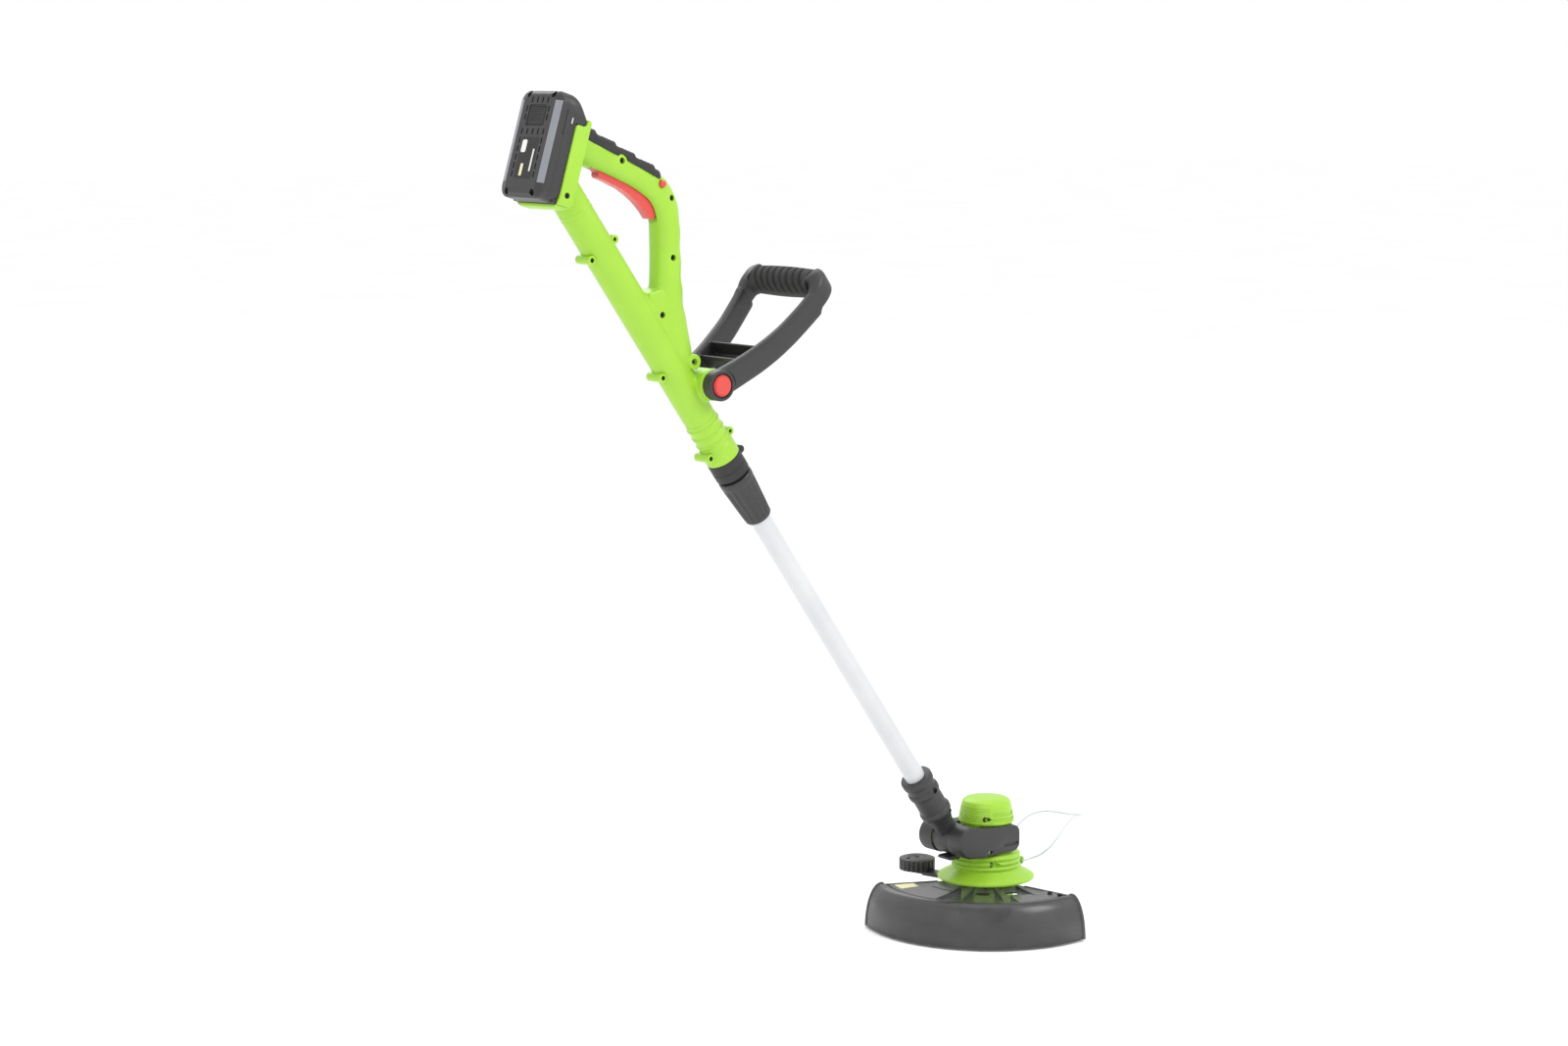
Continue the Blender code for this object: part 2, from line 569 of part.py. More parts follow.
def make_head_shells():
    form = solid("head_form", turned(head_profile(), 28), None)
    lug = arc(TILT_X, TILT_Z, PIVOT_R, 75, 285, 8) + [(-27.0, TILT_Z - 17.0), (-27.0, TILT_Z + 13.0)]
    for side in (-1, 1):
        low, high = sorted((side * 14.3, side * 17.0))
        join(form, solid("tilt_lug", prism(lug, low, high), None))
        join(form, solid("guard_eye", cross_rod(4.8, *sorted((side * 9.0, side * 14.6)), 44.0, 68.0, 10), None))
    cut(form, solid("tilt_bore", cross_rod(4.4, -40.0, 40.0, TILT_X, TILT_Z, 12), None))
    cut(form, solid("eye_bore", cross_rod(2.0, -30.0, 30.0, 44.0, 68.0, 8), None))
    for z in (127.5, 137.0):
        cut(form, solid("cap_vent", block((-15.0, -50.0, z), (14.0, 50.0, z + 3.6)), None))
    for index, (x, y, z) in enumerate(((-20.0, -24.0, 132.5), (-24.0, -30.5, 75.5))):
        cut(form, solid(f"head_hole_{index}", cross_rod(3.6, -60.0, y + 2.0, x, z, 8), None))
    shell_pair(form, "head_housing", "green")
    screw("head_screw_1", None, -20.0, 132.5, -26.0, 2.9, head_r=3.0)
    screw("head_screw_2", None, -24.0, 75.5, -34.0, 4.0, head_r=3.0)


def make_side_covers():
    """Charcoal covers over the waist; each holds one end of the tilt pin."""
    for suffix, side in (("right", -1), ("left", 1)):
        low, high = sorted((side * 17.3, side * COVER_HALF))
        cover = solid(f"side_cover_{suffix}", prism(racetrack(87.2, 120.9, 19.8, 33.0), low, high), None, "charcoal")
        bevel = cover.modifiers.new("round_edges", "BEVEL")
        bevel.width = 3.0 * MM
        bevel.segments = 2
        bevel.limit_method = "ANGLE"
        wrap = solid("cover_wrap", turned(disc(42.5, 60.0, 150.0), 28), None)
        join(wrap, solid("cover_rear", block((-90.0, -60.0, 60.0), (-6.0, 60.0, 150.0)), None))
        keep(cover, wrap)
        cut(cover, solid("cover_waist", turned(disc(WAIST_R + 0.4, 60.0, 150.0), 28), None))
        cut(cover, solid("cover_bore", cross_rod(4.4, -36.8, 36.8, TILT_X, TILT_Z, 12), None))
    solid("tilt_pin", cross_rod(4.0, -36.4, 36.4, TILT_X, TILT_Z, 12), None, "steel")
    release = [(-84.0, 83.5), (-52.0, 83.5), (-50.0, 85.0), (-50.0, 88.0), (-80.0, 88.0), (-84.0, 86.5)]
    solid("tilt_release", prism(release, -10.0, 10.0), None, "green")


def make_motor():
    can = [(5.3, 73.4), (18.5, 73.4), (18.5, 126.0), (5.3, 126.0), (5.3, 123.5), (16.3, 123.5), (16.3, 76.0),
           (5.3, 76.0)]
    solid("motor_can", turned(can), None, "steel")
    solid("bearing_lower", turned(disc(5.0, 73.6, 77.6, 1.8), 12), None, "steel")
    solid("bearing_upper", turned(disc(5.0, 122.0, 126.0, 1.8), 12), None, "steel")
    rotor = [(0.0, 30.0), (1.5, 30.0), (1.5, 82.0), (15.2, 84.0), (15.2, 116.0), (1.5, 118.0), (1.5, 128.0),
             (0.0, 128.0)]
    solid("motor_rotor", turned(rotor, 12), None, "copper")


def make_spool():
    """Line head: cup, spool, bump cap with its spring, and the line."""
    cup = [(1.8, 46.0), (1.8, 30.0), (6.0, 30.0), (6.0, 21.5), (7.6, 21.5), (7.6, 37.0), (30.5, 36.0),
           (30.5, 15.5), (SPIN_R, 15.5), (SPIN_R, 37.0), (28.0, 43.0), (10.0, 46.0)]
    housing = solid("spool_housing", turned(cup, 24), None, "green")
    outlet = frame_at("line_outlet", 0.0, 0.0, LINE_Z)
    outlet.rotation_euler.z = math.radians(LINE_AZIMUTH)
    cut(housing, solid("line_eyelet", turned(disc(1.2, 26.0, 40.0), 8, "X"), outlet))
    spool = [(8.0, 15.5), (29.5, 15.5), (29.5, 18.0), (14.0, 18.5), (14.0, 31.5), (29.5, 32.5), (29.5, 34.5),
             (8.0, 34.5)]
    solid("line_spool", turned(spool), None, "charcoal")
    cap = [(0.0, 0.0), (20.0, 0.0), (27.0, 2.5), (31.5, 9.0), (31.5, 11.0), (28.5, 11.0), (24.5, 5.0),
           (0.0, 3.2)]
    solid("spool_cap", turned(cap), None, "charcoal")
    solid("spool_spring", turned(disc(5.4, 3.6, 21.0, 3.6), 12), None, "steel")
    solid("cutting_line", turned(disc(0.8, 14.6, 112.0), 6, "X"), outlet, "line")


# ---------------------------------------------------------------- guard and wheel

def guard_profile():
    """Section of the guard: flat plate, a step up to the crest, round shoulder, steep wall."""
    thick = 2.2
    shoulder = GUARD_R - GUARD_TOP_R
    rise = GUARD_CREST - GUARD_LOW
    steps = 4
    curve = [math.radians(90.0 * i / steps) for i in range(steps + 1)]
    outer = [(GUARD_TOP_R + shoulder * math.sin(a), GUARD_LOW + rise * math.cos(a)) for a in curve]
    inner = [(GUARD_TOP_R + (shoulder - thick) * math.sin(a), GUARD_LOW + (rise - thick) * math.cos(a))
             for a in curve]
    step = GUARD_TOP_R - 4.0
    return ([(36.0, GUARD_Z), (step, GUARD_Z)] + outer + inner[::-1]
            + [(step, GUARD_Z - thick), (36.0, GUARD_Z - thick)])


def make_guard():
    shape = turned(guard_profile(), 18, start=GUARD_START, end=GUARD_END)
    guard = solid("guard", shape, None, "smoke")
    for angle in (225.0, 251.0):
        slot = block((74.0, -7.0, 30.0), (82.0, 7.0, 70.0))
        bmesh.ops.rotate(slot, verts=slot.verts, matrix=Matrix.Rotation(math.radians(angle), 3, "Z"))
        cut(guard, solid("guard_slot", slot, None))
    blade = block((100.0, -6.0, 45.9), (126.5, 6.0, 47.3))
    bmesh.ops.rotate(blade, verts=blade.verts, matrix=Matrix.Rotation(math.radians(GUARD_END - 0.5), 3, "Z"))
    solid("cutter_blade", blade, None, "steel")


def make_edge_wheel():
    """Vertical-axis guide wheel on its bracket, at the tool's left."""
    spoke = Vector((WHEEL_X, WHEEL_Y, 0.0))
    length = spoke.length
    angle = math.atan2(WHEEL_Y, WHEEL_X)
    outline = [(44.0, -12.0), (80.0, -10.0)] + arc(length, 0.0, 8.0, -80, 80, 6) + [(80.0, 10.0), (44.0, 12.0)]
    plate = upright(outline, 0.0, 3.0)
    bmesh.ops.rotate(plate, verts=plate.verts, matrix=Matrix.Rotation(angle, 3, "Z"))
    bracket = solid("wheel_bracket", moved(plate, z=44.0), None, "charcoal")
    foot = block((45.0, -10.5, 45.0), (56.0, 10.5, SKIRT_Z - GAP))
    bmesh.ops.rotate(foot, verts=foot.verts, matrix=Matrix.Rotation(angle, 3, "Z"))
    join(bracket, solid("bracket_foot", foot, None))
    axle_frame = frame_at("wheel_axis", WHEEL_X, WHEEL_Y, 0.0)
    cut(bracket, solid("bracket_bore", turned(disc(3.3, 30.0, 60.0), 12), axle_frame))
    solid("wheel_axle", turned(disc(3.0, 43.0, 61.0), 12), axle_frame, "steel")
    wheel = [(3.3, 47.4), (20.5, 47.4), (WHEEL_R, 49.0), (WHEEL_R, 60.5), (20.5, 62.0), (9.0, 62.6), (6.0, 61.4),
             (3.3, 61.4)]
    solid("edge_wheel", turned(wheel), axle_frame, "charcoal")


WIRE_ROUTE = [(44.0, 10.0, 68.0), (44.0, 14.0, 68.0), (45.2, 16.8, 68.0), (49.5, 18.2, 68.3),
              (57.0, 20.2, 70.0), (64.0, 25.5, 73.5), (70.0, 31.5, 79.5),
              (77.0, 35.0, 87.0), (85.0, 36.0, 95.0), (95.0, 34.5, 102.5), (106.0, 31.0, 108.0),
              (120.0, 24.0, 110.5), (134.0, 13.5, 108.5), (146.0, 5.5, 106.0), (156.0, 1.2, 105.0)]


def make_plant_guard():
    """Wire loop that keeps the line off plants; it hinges in the eyes at the front of the head."""
    right = [(x, -y, z) for x, y, z in WIRE_ROUTE]
    left = [(x, y, z) for x, y, z in reversed(WIRE_ROUTE)]
    points = right + left
    curve = bpy.data.curves.new("plant_guard", "CURVE")
    curve.dimensions = "3D"
    curve.bevel_depth = 1.2 * MM
    curve.bevel_resolution = 1
    curve.use_fill_caps = True
    spline = curve.splines.new("POLY")
    spline.points.add(len(points) - 1)
    for point, (x, y, z) in zip(spline.points, points):
        point.co = (x * MM, y * MM, z * MM, 1.0)
    wire = bpy.data.objects.new("plant_guard", curve)
    bpy.context.collection.objects.link(wire)
    colour(wire, "wire")


# ---------------------------------------------------------------- battery

def make_battery(dock):
    half, length = PACK_HALF_WIDTH, PACK_HALF_LENGTH
    lid_outline = [(2.5, -length), (12.0, -length), (12.0, length), (6.0, length), (0.0, length - 8.0),
                   (0.0, -length + 4.0)]
    lid = solid("battery_lid", prism(lid_outline, -half, half), dock, "charcoal")
    soften(lid, 4.0)
    cut(lid, solid("lid_hollow", block((2.4, -half + 2.6, -length + 2.6), (20.0, half - 2.6, length - 4.0)), dock))
    cut(lid, solid("button_window", block((-5.0, -14.3, 19.7), (10.0, 14.3, 40.3)), dock))
    base_outline = [(12.3, -length), (25.0, -length), (25.0, 29.0), (38.0, 29.0), (38.0, 34.0),
                    (22.0, 53.0), (12.3, length)]
    base = solid("battery_base", prism(base_outline, -half, half), dock, "charcoal")
    soften(base, 3.0)
    join(base, solid("pack_rails", block((20.0, -35.0, -length), (39.5, 35.0, 32.0)), dock))
    cut(base, solid("base_hollow", block((5.0, -half + 3.2, -length + 3.0), (24.2, half - 3.2, 50.0)), dock))
    cut(base, solid("terminal_notch", block((30.0, -13.0, -70.0), (45.0, 13.0, 11.5)), dock))
    solid("cell_pack", prism(cell_outline(), -33.0, 33.0), dock, "cell")
    solid("battery_release", block((0.6, -14.0, 20.0), (2.8, 14.0, 40.0)), dock, "charcoal")


def soften(obj, width):
    """Round the long edges of a moulding."""
    bevel = obj.modifiers.new("round_edges", "BEVEL")
    bevel.width = width * MM
    bevel.segments = 2
    bevel.limit_method = "ANGLE"
    bevel.angle_limit = math.radians(50)


def cell_outline():
    """Five cells side by side in their holder."""
    radius, pitch, centre = 9.0, 17.6, 14.5
    starts = [(i - 2) * pitch for i in range(5)]
    right = [p for b in starts for p in arc(centre, b, radius, -70, 70, 4)]
    left = [p for b in reversed(starts) for p in arc(centre, b, radius, 110, 250, 4)]
    return right + left


# ---------------------------------------------------------------- assembly

def on_shaft(name, s, t):
    """A frame on the shaft's axes at a distance along it and above it."""
    lean = math.radians(LEAN)
    x = TILT_X - s * math.sin(lean) + t * math.cos(lean)
    z = TILT_Z + s * math.cos(lean) + t * math.sin(lean)
    return frame_at(name, x, 0.0, z, -LEAN)


def in_grip(name, x, z):
    """A frame on the grip's axes at a place in it."""
    slope = math.radians(GRIP_SLOPE)
    world_x = GRIP_X + x * math.cos(slope) + z * math.sin(slope)
    world_z = GRIP_Z - x * math.sin(slope) + z * math.cos(slope)
    return frame_at(name, world_x, 0.0, world_z, GRIP_SLOPE)


def build():
    clear_scene()
    shaft = on_shaft("shaft_frame", 0.0, 0.0)
    aux = on_shaft("aux_pivot", AUX_S, AUX_T)
    dock = frame_at("dock_frame", PACK_X, 0.0, PACK_Z, PACK_LEAN)
    grip = frame_at("grip_frame", GRIP_X, 0.0, GRIP_Z, GRIP_SLOPE)
    form, pad, seat = make_rear_handle(shaft, dock, grip, aux)
    make_handle_shells(form, seat)
    shell_pair(pad, "grip_pad", "rubber")
    make_handle_insides(shaft, dock, grip, aux)
    make_handle_screws(shaft)
    make_trigger(in_grip("trigger_pivot", -26.0, -14.5))
    make_lock_button(in_grip("lock_axis", 53.5, 1.5))
    make_aux_handle(aux)
    make_aux_buttons(aux)
    make_shaft(shaft)
    make_neck(shaft)
    make_head_shells()
    make_side_covers()
    make_motor()
    make_spool()
    make_guard()
    make_edge_wheel()
    make_plant_guard()
    make_battery(dock)


build()
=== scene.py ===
"""Looks of the battery string trimmer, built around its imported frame.

Lengths are millimetres in the frame's own axes; MM turns them into Blender's metres.
Most pieces are made in a local frame: the shaft's, the auxiliary handle's, the dock's or the grip's.
"""
import json
import math

import bmesh
import bpy
from mathutils import Matrix, Vector


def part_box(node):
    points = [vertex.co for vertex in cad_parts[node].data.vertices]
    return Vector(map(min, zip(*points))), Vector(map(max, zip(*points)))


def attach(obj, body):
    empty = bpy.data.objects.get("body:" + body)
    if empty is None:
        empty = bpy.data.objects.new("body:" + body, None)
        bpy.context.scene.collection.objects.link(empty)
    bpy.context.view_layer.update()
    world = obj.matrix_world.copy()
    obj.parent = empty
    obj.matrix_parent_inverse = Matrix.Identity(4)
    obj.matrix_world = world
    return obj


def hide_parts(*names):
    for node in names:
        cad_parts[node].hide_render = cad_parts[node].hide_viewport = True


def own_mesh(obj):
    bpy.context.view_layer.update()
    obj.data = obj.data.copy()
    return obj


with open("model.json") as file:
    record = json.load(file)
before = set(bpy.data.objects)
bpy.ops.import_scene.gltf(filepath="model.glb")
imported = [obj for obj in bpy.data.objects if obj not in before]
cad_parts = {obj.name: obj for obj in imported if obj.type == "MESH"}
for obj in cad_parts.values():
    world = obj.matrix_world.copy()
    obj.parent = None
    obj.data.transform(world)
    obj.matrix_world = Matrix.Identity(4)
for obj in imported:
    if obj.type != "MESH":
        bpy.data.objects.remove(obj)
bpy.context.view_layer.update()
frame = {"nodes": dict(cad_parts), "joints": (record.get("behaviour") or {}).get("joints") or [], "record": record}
MM = 0.001
FLOOR_Z = -0.2
LINE_Z, LINE_AZIMUTH = 25.0, 238.0
JOINTS = {joint["name"]: joint for joint in frame["joints"]}
MOUNTS = {mount["name"]: mount for mount in frame["record"]["mounts"]}


# ---------------------------------------------------------------- local frames

def local(point_m, pitch):
    """A frame at a point, tipped about Y; pitch is in degrees."""
    return Matrix.Translation(Vector(point_m) / MM) @ Matrix.Rotation(math.radians(pitch), 4, "Y")


def pitch_of(axis):
    """How far a frame's +Z has been tipped about Y."""
    return math.degrees(math.atan2(axis[0], axis[2]))


WORLD = Matrix.Identity(4)
TILT = Vector(JOINTS["head_tilt"]["pos_m"]) / MM
SHAFT = local(JOINTS["head_tilt"]["pos_m"], pitch_of(JOINTS["shaft_turn"]["axis"]))
AUX = local(JOINTS["aux_handle_swing"]["pos_m"], pitch_of(JOINTS["shaft_turn"]["axis"]))
DOCK_PITCH = pitch_of(JOINTS["battery_slide"]["axis"])
DOCK = local(MOUNTS["battery_rear_face"]["pos_m"], DOCK_PITCH) @ Matrix.Translation((0.0, 0.0, 20.0))
GRIP_SLOPE = 24.3
GRIP = local(MOUNTS["rear_grip"]["pos_m"], GRIP_SLOPE)
TRIGGER = local(JOINTS["trigger_squeeze"]["pos_m"], GRIP_SLOPE)


# ---------------------------------------------------------------- shapes

def turned(profile, segments=64, axis="Z", start=0.0, end=360.0):
    """Spin a closed loop of (radius, height) points about the axis."""
    shape = bmesh.new()
    full = abs(end - start) >= 360.0
    count = segments if full else segments + 1
    rings = []
    for step in range(count):
        angle = math.radians(start + (end - start) * step / segments)
        rings.append([shape.verts.new((r * math.cos(angle), r * math.sin(angle), h)) for r, h in profile])
    for step in range(segments):
        one, two = rings[step], rings[(step + 1) % count]
        for i in range(len(profile)):
            j = (i + 1) % len(profile)
            corners = [one[i], two[i], two[j], one[j]]
            if profile[i][0] == 0.0 and profile[j][0] == 0.0:
                continue
            if profile[i][0] == 0.0:
                corners = [one[i], two[j], one[j]]
            elif profile[j][0] == 0.0:
                corners = [one[i], two[i], one[j]]
            shape.faces.new(corners)
    if not full:
        shape.faces.new(rings[0])
        shape.faces.new(rings[-1])
    bmesh.ops.remove_doubles(shape, verts=shape.verts, dist=0.0005)
    if axis == "Y":
        turn(shape, -90, "X")
    if axis == "X":
        turn(shape, 90, "Y")
    return shape


def turn(shape, degrees, axis):
    bmesh.ops.rotate(shape, verts=shape.verts, matrix=Matrix.Rotation(math.radians(degrees), 3, axis))
    return shape


def moved(shape, x=0.0, y=0.0, z=0.0):
    bmesh.ops.translate(shape, vec=(x, y, z), verts=shape.verts)
    return shape


def disc(radius, low, high, edge=0.0):
    """Profile of a cylinder, with its edges rounded over by `edge`."""
    if edge == 0.0:
        return [(0.0, low), (radius, low), (radius, high), (0.0, high)]
    lower = arc(radius - edge, low + edge, edge, -90, 0, 4)
    upper = arc(radius - edge, high - edge, edge, 0, 90, 4)
    return [(0.0, low)] + lower + upper + [(0.0, high)]


def rod(radius, low, high, x=0.0, z=0.0, segments=32, edge=0.0):
    """A cylinder along Y at (x, z)."""
    return moved(turned(disc(radius, low, high, edge=edge), segments, "Y"), x=x, z=z)


def prism(outline, low, high):
    """Extrude an (x, z) outline along Y."""
    shape = bmesh.new()
    face = shape.faces.new([shape.verts.new((x, low, z)) for x, z in outline])
    grown = bmesh.ops.extrude_face_region(shape, geom=[face])
    verts = [item for item in grown["geom"] if isinstance(item, bmesh.types.BMVert)]
    bmesh.ops.translate(shape, vec=(0.0, high - low, 0.0), verts=verts)
    return shape


def upright(outline, low, high):
    """Extrude an (x, y) outline along Z."""
    return turn(prism([(x, -y) for x, y in outline], low, high), 90, "X")


def block(low, high):
    outline = [(low[0], low[2]), (high[0], low[2]), (high[0], high[2]), (low[0], high[2])]
    return prism(outline, low[1], high[1])


def arc(x, z, radius, start, end, steps):
    angles = [math.radians(start + (end - start) * i / steps) for i in range(steps + 1)]
    return [(x + radius * math.cos(a), z + radius * math.sin(a)) for a in angles]


def round_box(x0, x1, z0, z1, radius, steps=6):
    """Outline of a rectangle with round corners, from its lower right corner."""
    corners = [(x1 - radius, z0 + radius, -90), (x1 - radius, z1 - radius, 0),
               (x0 + radius, z1 - radius, 90), (x0 + radius, z0 + radius, 180)]
    return [p for x, z, start in corners for p in arc(x, z, radius, start, start + 90, steps)]


def skin(rings):
    """A closed body from rings of points, each joined to the next, with both ends capped."""
    shape = bmesh.new()
    loops = [[shape.verts.new(point) for point in ring] for ring in rings]
    for one, two in zip(loops, loops[1:]):
        for k in range(len(one)):
            j = (k + 1) % len(one)
            shape.faces.new([one[k], one[j], two[j], two[k]])
    shape.faces.new(loops[0])
    shape.faces.new(loops[-1])
    return shape


def loft(levels):
    """Join closed outlines of equal length; each level is (depth along X, [(y, z), ...])."""
    return skin([[(x, y, z) for y, z in outline] for x, outline in levels])


def smooth_path(points, steps):
    """Catmull-Rom points through the control points."""
    padded = [points[0]] + list(points) + [points[-1]]
    path = []
    for i in range(1, len(padded) - 2):
        p0, p1, p2, p3 = (Vector(p) for p in padded[i - 1:i + 3])
        for k in range(steps):
            t = k / steps
            path.append(0.5 * (2 * p1 + (p2 - p0) * t + (2 * p0 - 5 * p1 + 4 * p2 - p3) * t * t
                               + (3 * p1 - p0 - 3 * p2 + p3) * t ** 3))
    path.append(Vector(points[-1]))
    return path


def swept(path, side, sizes, sides=32, squareness=1.0):
    """A bar along the path; each size is (half across `side`, half along `side`)."""
    side = Vector(side).normalized()
    rings = []
    for i, point in enumerate(path):
        ahead = path[min(i + 1, len(path) - 1)] - path[max(i - 1, 0)]
        across = side.cross(ahead).normalized()
        ring = []
        for k in range(sides):
            angle = 2 * math.pi * k / sides
            c, s = math.cos(angle), math.sin(angle)
            a = math.copysign(abs(c) ** squareness, c) * sizes[i][0]
            b = math.copysign(abs(s) ** squareness, s) * sizes[i][1]
            ring.append(point + across * a + side * b)
        rings.append(ring)
    return skin(rings)


def sweep_between(points, halves, side, steps, sides=32, squareness=1.0):
    """Sweep a bar whose route and half sizes both follow smooth curves."""
    sizes = [(h[0], h[1]) for h in smooth_path([(a, b, 0.0) for a, b in halves], steps)]
    return swept(smooth_path(points, steps), side, sizes, sides, squareness)


def helix(radius, wire, low, high, turns):
    """A wire coil along Z."""
    per_turn = 20
    count = int(turns * per_turn)
    path = []
    for i in range(count + 1):
        angle = 2 * math.pi * i / per_turn
        z = low + wire + (high - low - 2 * wire) * i / count
        path.append(Vector(((radius - wire) * math.cos(angle), (radius - wire) * math.sin(angle), z)))
    return swept(path, (0.0, 0.0, 1.0), [(wire, wire)] * len(path), 8)


def span(side, near, far):
    """The two depths on one side of the middle plane, lowest first; side is -1 or 1."""
    return sorted((side * near, side * far))


# ---------------------------------------------------------------- objects

def mesh_object(name, shapes, place=WORLD):
    """One object in metres from bmeshes in the millimetres of a local frame."""
    joined = bmesh.new()
    for shape in shapes:
        bmesh.ops.recalc_face_normals(shape, faces=shape.faces)
        part = bpy.data.meshes.new(name)
        shape.to_mesh(part)
        shape.free()
        part.transform(Matrix.Scale(MM, 4) @ place)
        joined.from_mesh(part)
        bpy.data.meshes.remove(part)
    mesh = bpy.data.meshes.new(name)
    joined.to_mesh(mesh)
    joined.free()
    obj = bpy.data.objects.new(name, mesh)
    bpy.context.scene.collection.objects.link(obj)
    return obj


def baked(obj):
    """Keep what the modifiers make of the mesh and drop the modifiers."""
    result = bpy.data.meshes.new_from_object(obj.evaluated_get(bpy.context.evaluated_depsgraph_get()))
    obj.modifiers.clear()
    obj.data = result
    return obj


def melt(obj, voxel, rounds):
    """Run touching shapes into one moulding with soft inside corners; voxel is in millimetres."""
    remesh = obj.modifiers.new("melt", "REMESH")
    remesh.mode = "VOXEL"
    remesh.voxel_size = voxel * MM
    smooth = obj.modifiers.new("soften", "SMOOTH")
    smooth.factor = 0.5
    smooth.iterations = rounds
    return baked(obj)


def combine(obj, operation, tools):
    """Boolean with closed tools, which are then removed."""
    for tool in tools:
        modifier = obj.modifiers.new(tool.name, "BOOLEAN")
        modifier.operation = operation
        modifier.object = tool
        modifier.solver = "MANIFOLD"
    baked(obj)
    for tool in tools:
        bpy.data.objects.remove(tool)
    return obj


def cut(obj, shapes, place=WORLD):
    """Cut each shape out of the object."""
    return combine(obj, "DIFFERENCE", [mesh_object("tool", [shape], place) for shape in shapes])


def within(obj, shape, place=WORLD):
    """Keep only what lies inside the shape."""
    return combine(obj, "INTERSECT", [mesh_object("tool", [shape], place)])


def add(obj, shapes, place=WORLD):
    """Join each shape onto the object."""
    return combine(obj, "UNION", [mesh_object("tool", [shape], place) for shape in shapes])


def bevelled(obj, width, segments=3, angle=40):
    bevel = obj.modifiers.new("edges", "BEVEL")
    bevel.width = width * MM
    bevel.segments = segments
    bevel.limit_method = "ANGLE"
    bevel.angle_limit = math.radians(angle)
    return baked(obj)


def dress(obj, finish, body, replaces=(), sharp=35):
    """Shade, paint and attach a finished piece."""
    obj.data.materials.clear()
    obj.data.materials.append(MATERIALS[finish])
    obj.data.shade_smooth()
    obj.data.set_sharp_from_angle(angle=math.radians(sharp))
    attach(obj, body)
    if replaces:
        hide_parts(*replaces)
    return obj


def halves(form, stem):
    """Split a moulding into its right and left shells at the tool's middle plane."""
    seam, reach = 0.06, 500.0
    made = []
    for suffix, low, high in (("right", -reach, -seam), ("left", seam, reach)):
        half = bpy.data.objects.new(f"{stem}_{suffix}", form.data.copy())
        bpy.context.scene.collection.objects.link(half)
        within(half, block((-1000.0, low, -100.0), (1300.0, high, 1300.0)))
        made.append(half)
    bpy.data.objects.remove(form)
    return made


# ---------------------------------------------------------------- materials

class Nodes:
    """Short names for building one material's node tree."""

    def __init__(self, name):
        self.material = bpy.data.materials.new(name)
        self.material.use_nodes = True
        self.tree = self.material.node_tree
        self.shader = self.tree.nodes["Principled BSDF"]
        self.place = self.tree.nodes.new("ShaderNodeTexCoord").outputs["Object"]

    def link(self, output, socket):
        self.tree.links.new(output, socket)

    def feed(self, name, output):
        """Drive one of the surface's inputs."""
        self.link(output, self.shader.inputs[name])

    def fix(self, name, value):
        """Set one of the surface's inputs."""
        self.shader.inputs[name].default_value = value

    def stretched(self, scale):
        """Object coordinates scaled along each axis."""
        mapping = self.tree.nodes.new("ShaderNodeMapping")
        mapping.inputs["Scale"].default_value = scale
        self.link(self.place, mapping.inputs["Vector"])
        return mapping.outputs["Vector"]

    def noise(self, size_mm, detail=3.0, rough=0.55, place=None):
        noise = self.tree.nodes.new("ShaderNodeTexNoise")
        noise.inputs["Scale"].default_value = 1.0 / (size_mm * MM)
        noise.inputs["Detail"].default_value = detail
        noise.inputs["Roughness"].default_value = rough
        self.link(place or self.place, noise.inputs["Vector"])
        return noise.outputs["Fac"]

    def ranged(self, value, low, high, from_low=0.3, from_high=0.7):
        node = self.tree.nodes.new("ShaderNodeMapRange")
        node.inputs["From Min"].default_value = from_low
        node.inputs["From Max"].default_value = from_high
        node.inputs["To Min"].default_value = low
        node.inputs["To Max"].default_value = high
        self.link(value, node.inputs["Value"])
        return node.outputs["Result"]

    def mixed(self, factor, one, two):
        node = self.tree.nodes.new("ShaderNodeMix")
        node.data_type = "RGBA"
        node.inputs["A"].default_value = (*one, 1.0)
        node.inputs["B"].default_value = (*two, 1.0)
        self.link(factor, node.inputs["Factor"])
        return node.outputs["Result"]

    def bump(self, height, strength, depth_mm):
        node = self.tree.nodes.new("ShaderNodeBump")
        node.inputs["Strength"].default_value = strength
        node.inputs["Distance"].default_value = depth_mm * MM
        self.link(height, node.inputs["Height"])
        self.feed("Normal", node.outputs["Normal"])


def shaded(rgb, factor):
    return tuple(min(1.0, c * factor) for c in rgb)


def moulded(name, rgb, roughness, grain_mm, bump, mottle=0.06, specular=0.5):
    """Injection-moulded plastic: fine spark-eroded grain and slow, faint changes of tone."""
    nodes = Nodes(name)
    tone = nodes.noise(28.0, 4.0)
    low, high = shaded(rgb, 1.0 - mottle), shaded(rgb, 1.0 + mottle)
    nodes.feed("Base Color", nodes.mixed(nodes.ranged(tone, 0.0, 1.0), low, high))
    grain = nodes.noise(grain_mm, 2.0)
    nodes.feed("Roughness", nodes.ranged(grain, roughness - 0.05, roughness + 0.07))
    nodes.bump(grain, bump, 0.12)
    nodes.fix("Specular IOR Level", specular)
    return nodes.material


def rubbery(name, rgb):
    """Soft overmould: matt, dusty in its high grain."""
    nodes = Nodes(name)
    grain = nodes.noise(0.5, 4.0, 0.7)
    dust = nodes.noise(9.0, 5.0, 0.65)
    low, high = shaded(rgb, 0.8), shaded(rgb, 1.35)
    nodes.feed("Base Color", nodes.mixed(nodes.ranged(dust, 0.0, 1.0), low, high))
    nodes.feed("Roughness", nodes.ranged(grain, 0.62, 0.85))
    nodes.bump(grain, 0.5, 0.15)
    nodes.fix("Specular IOR Level", 0.35)
    return nodes.material


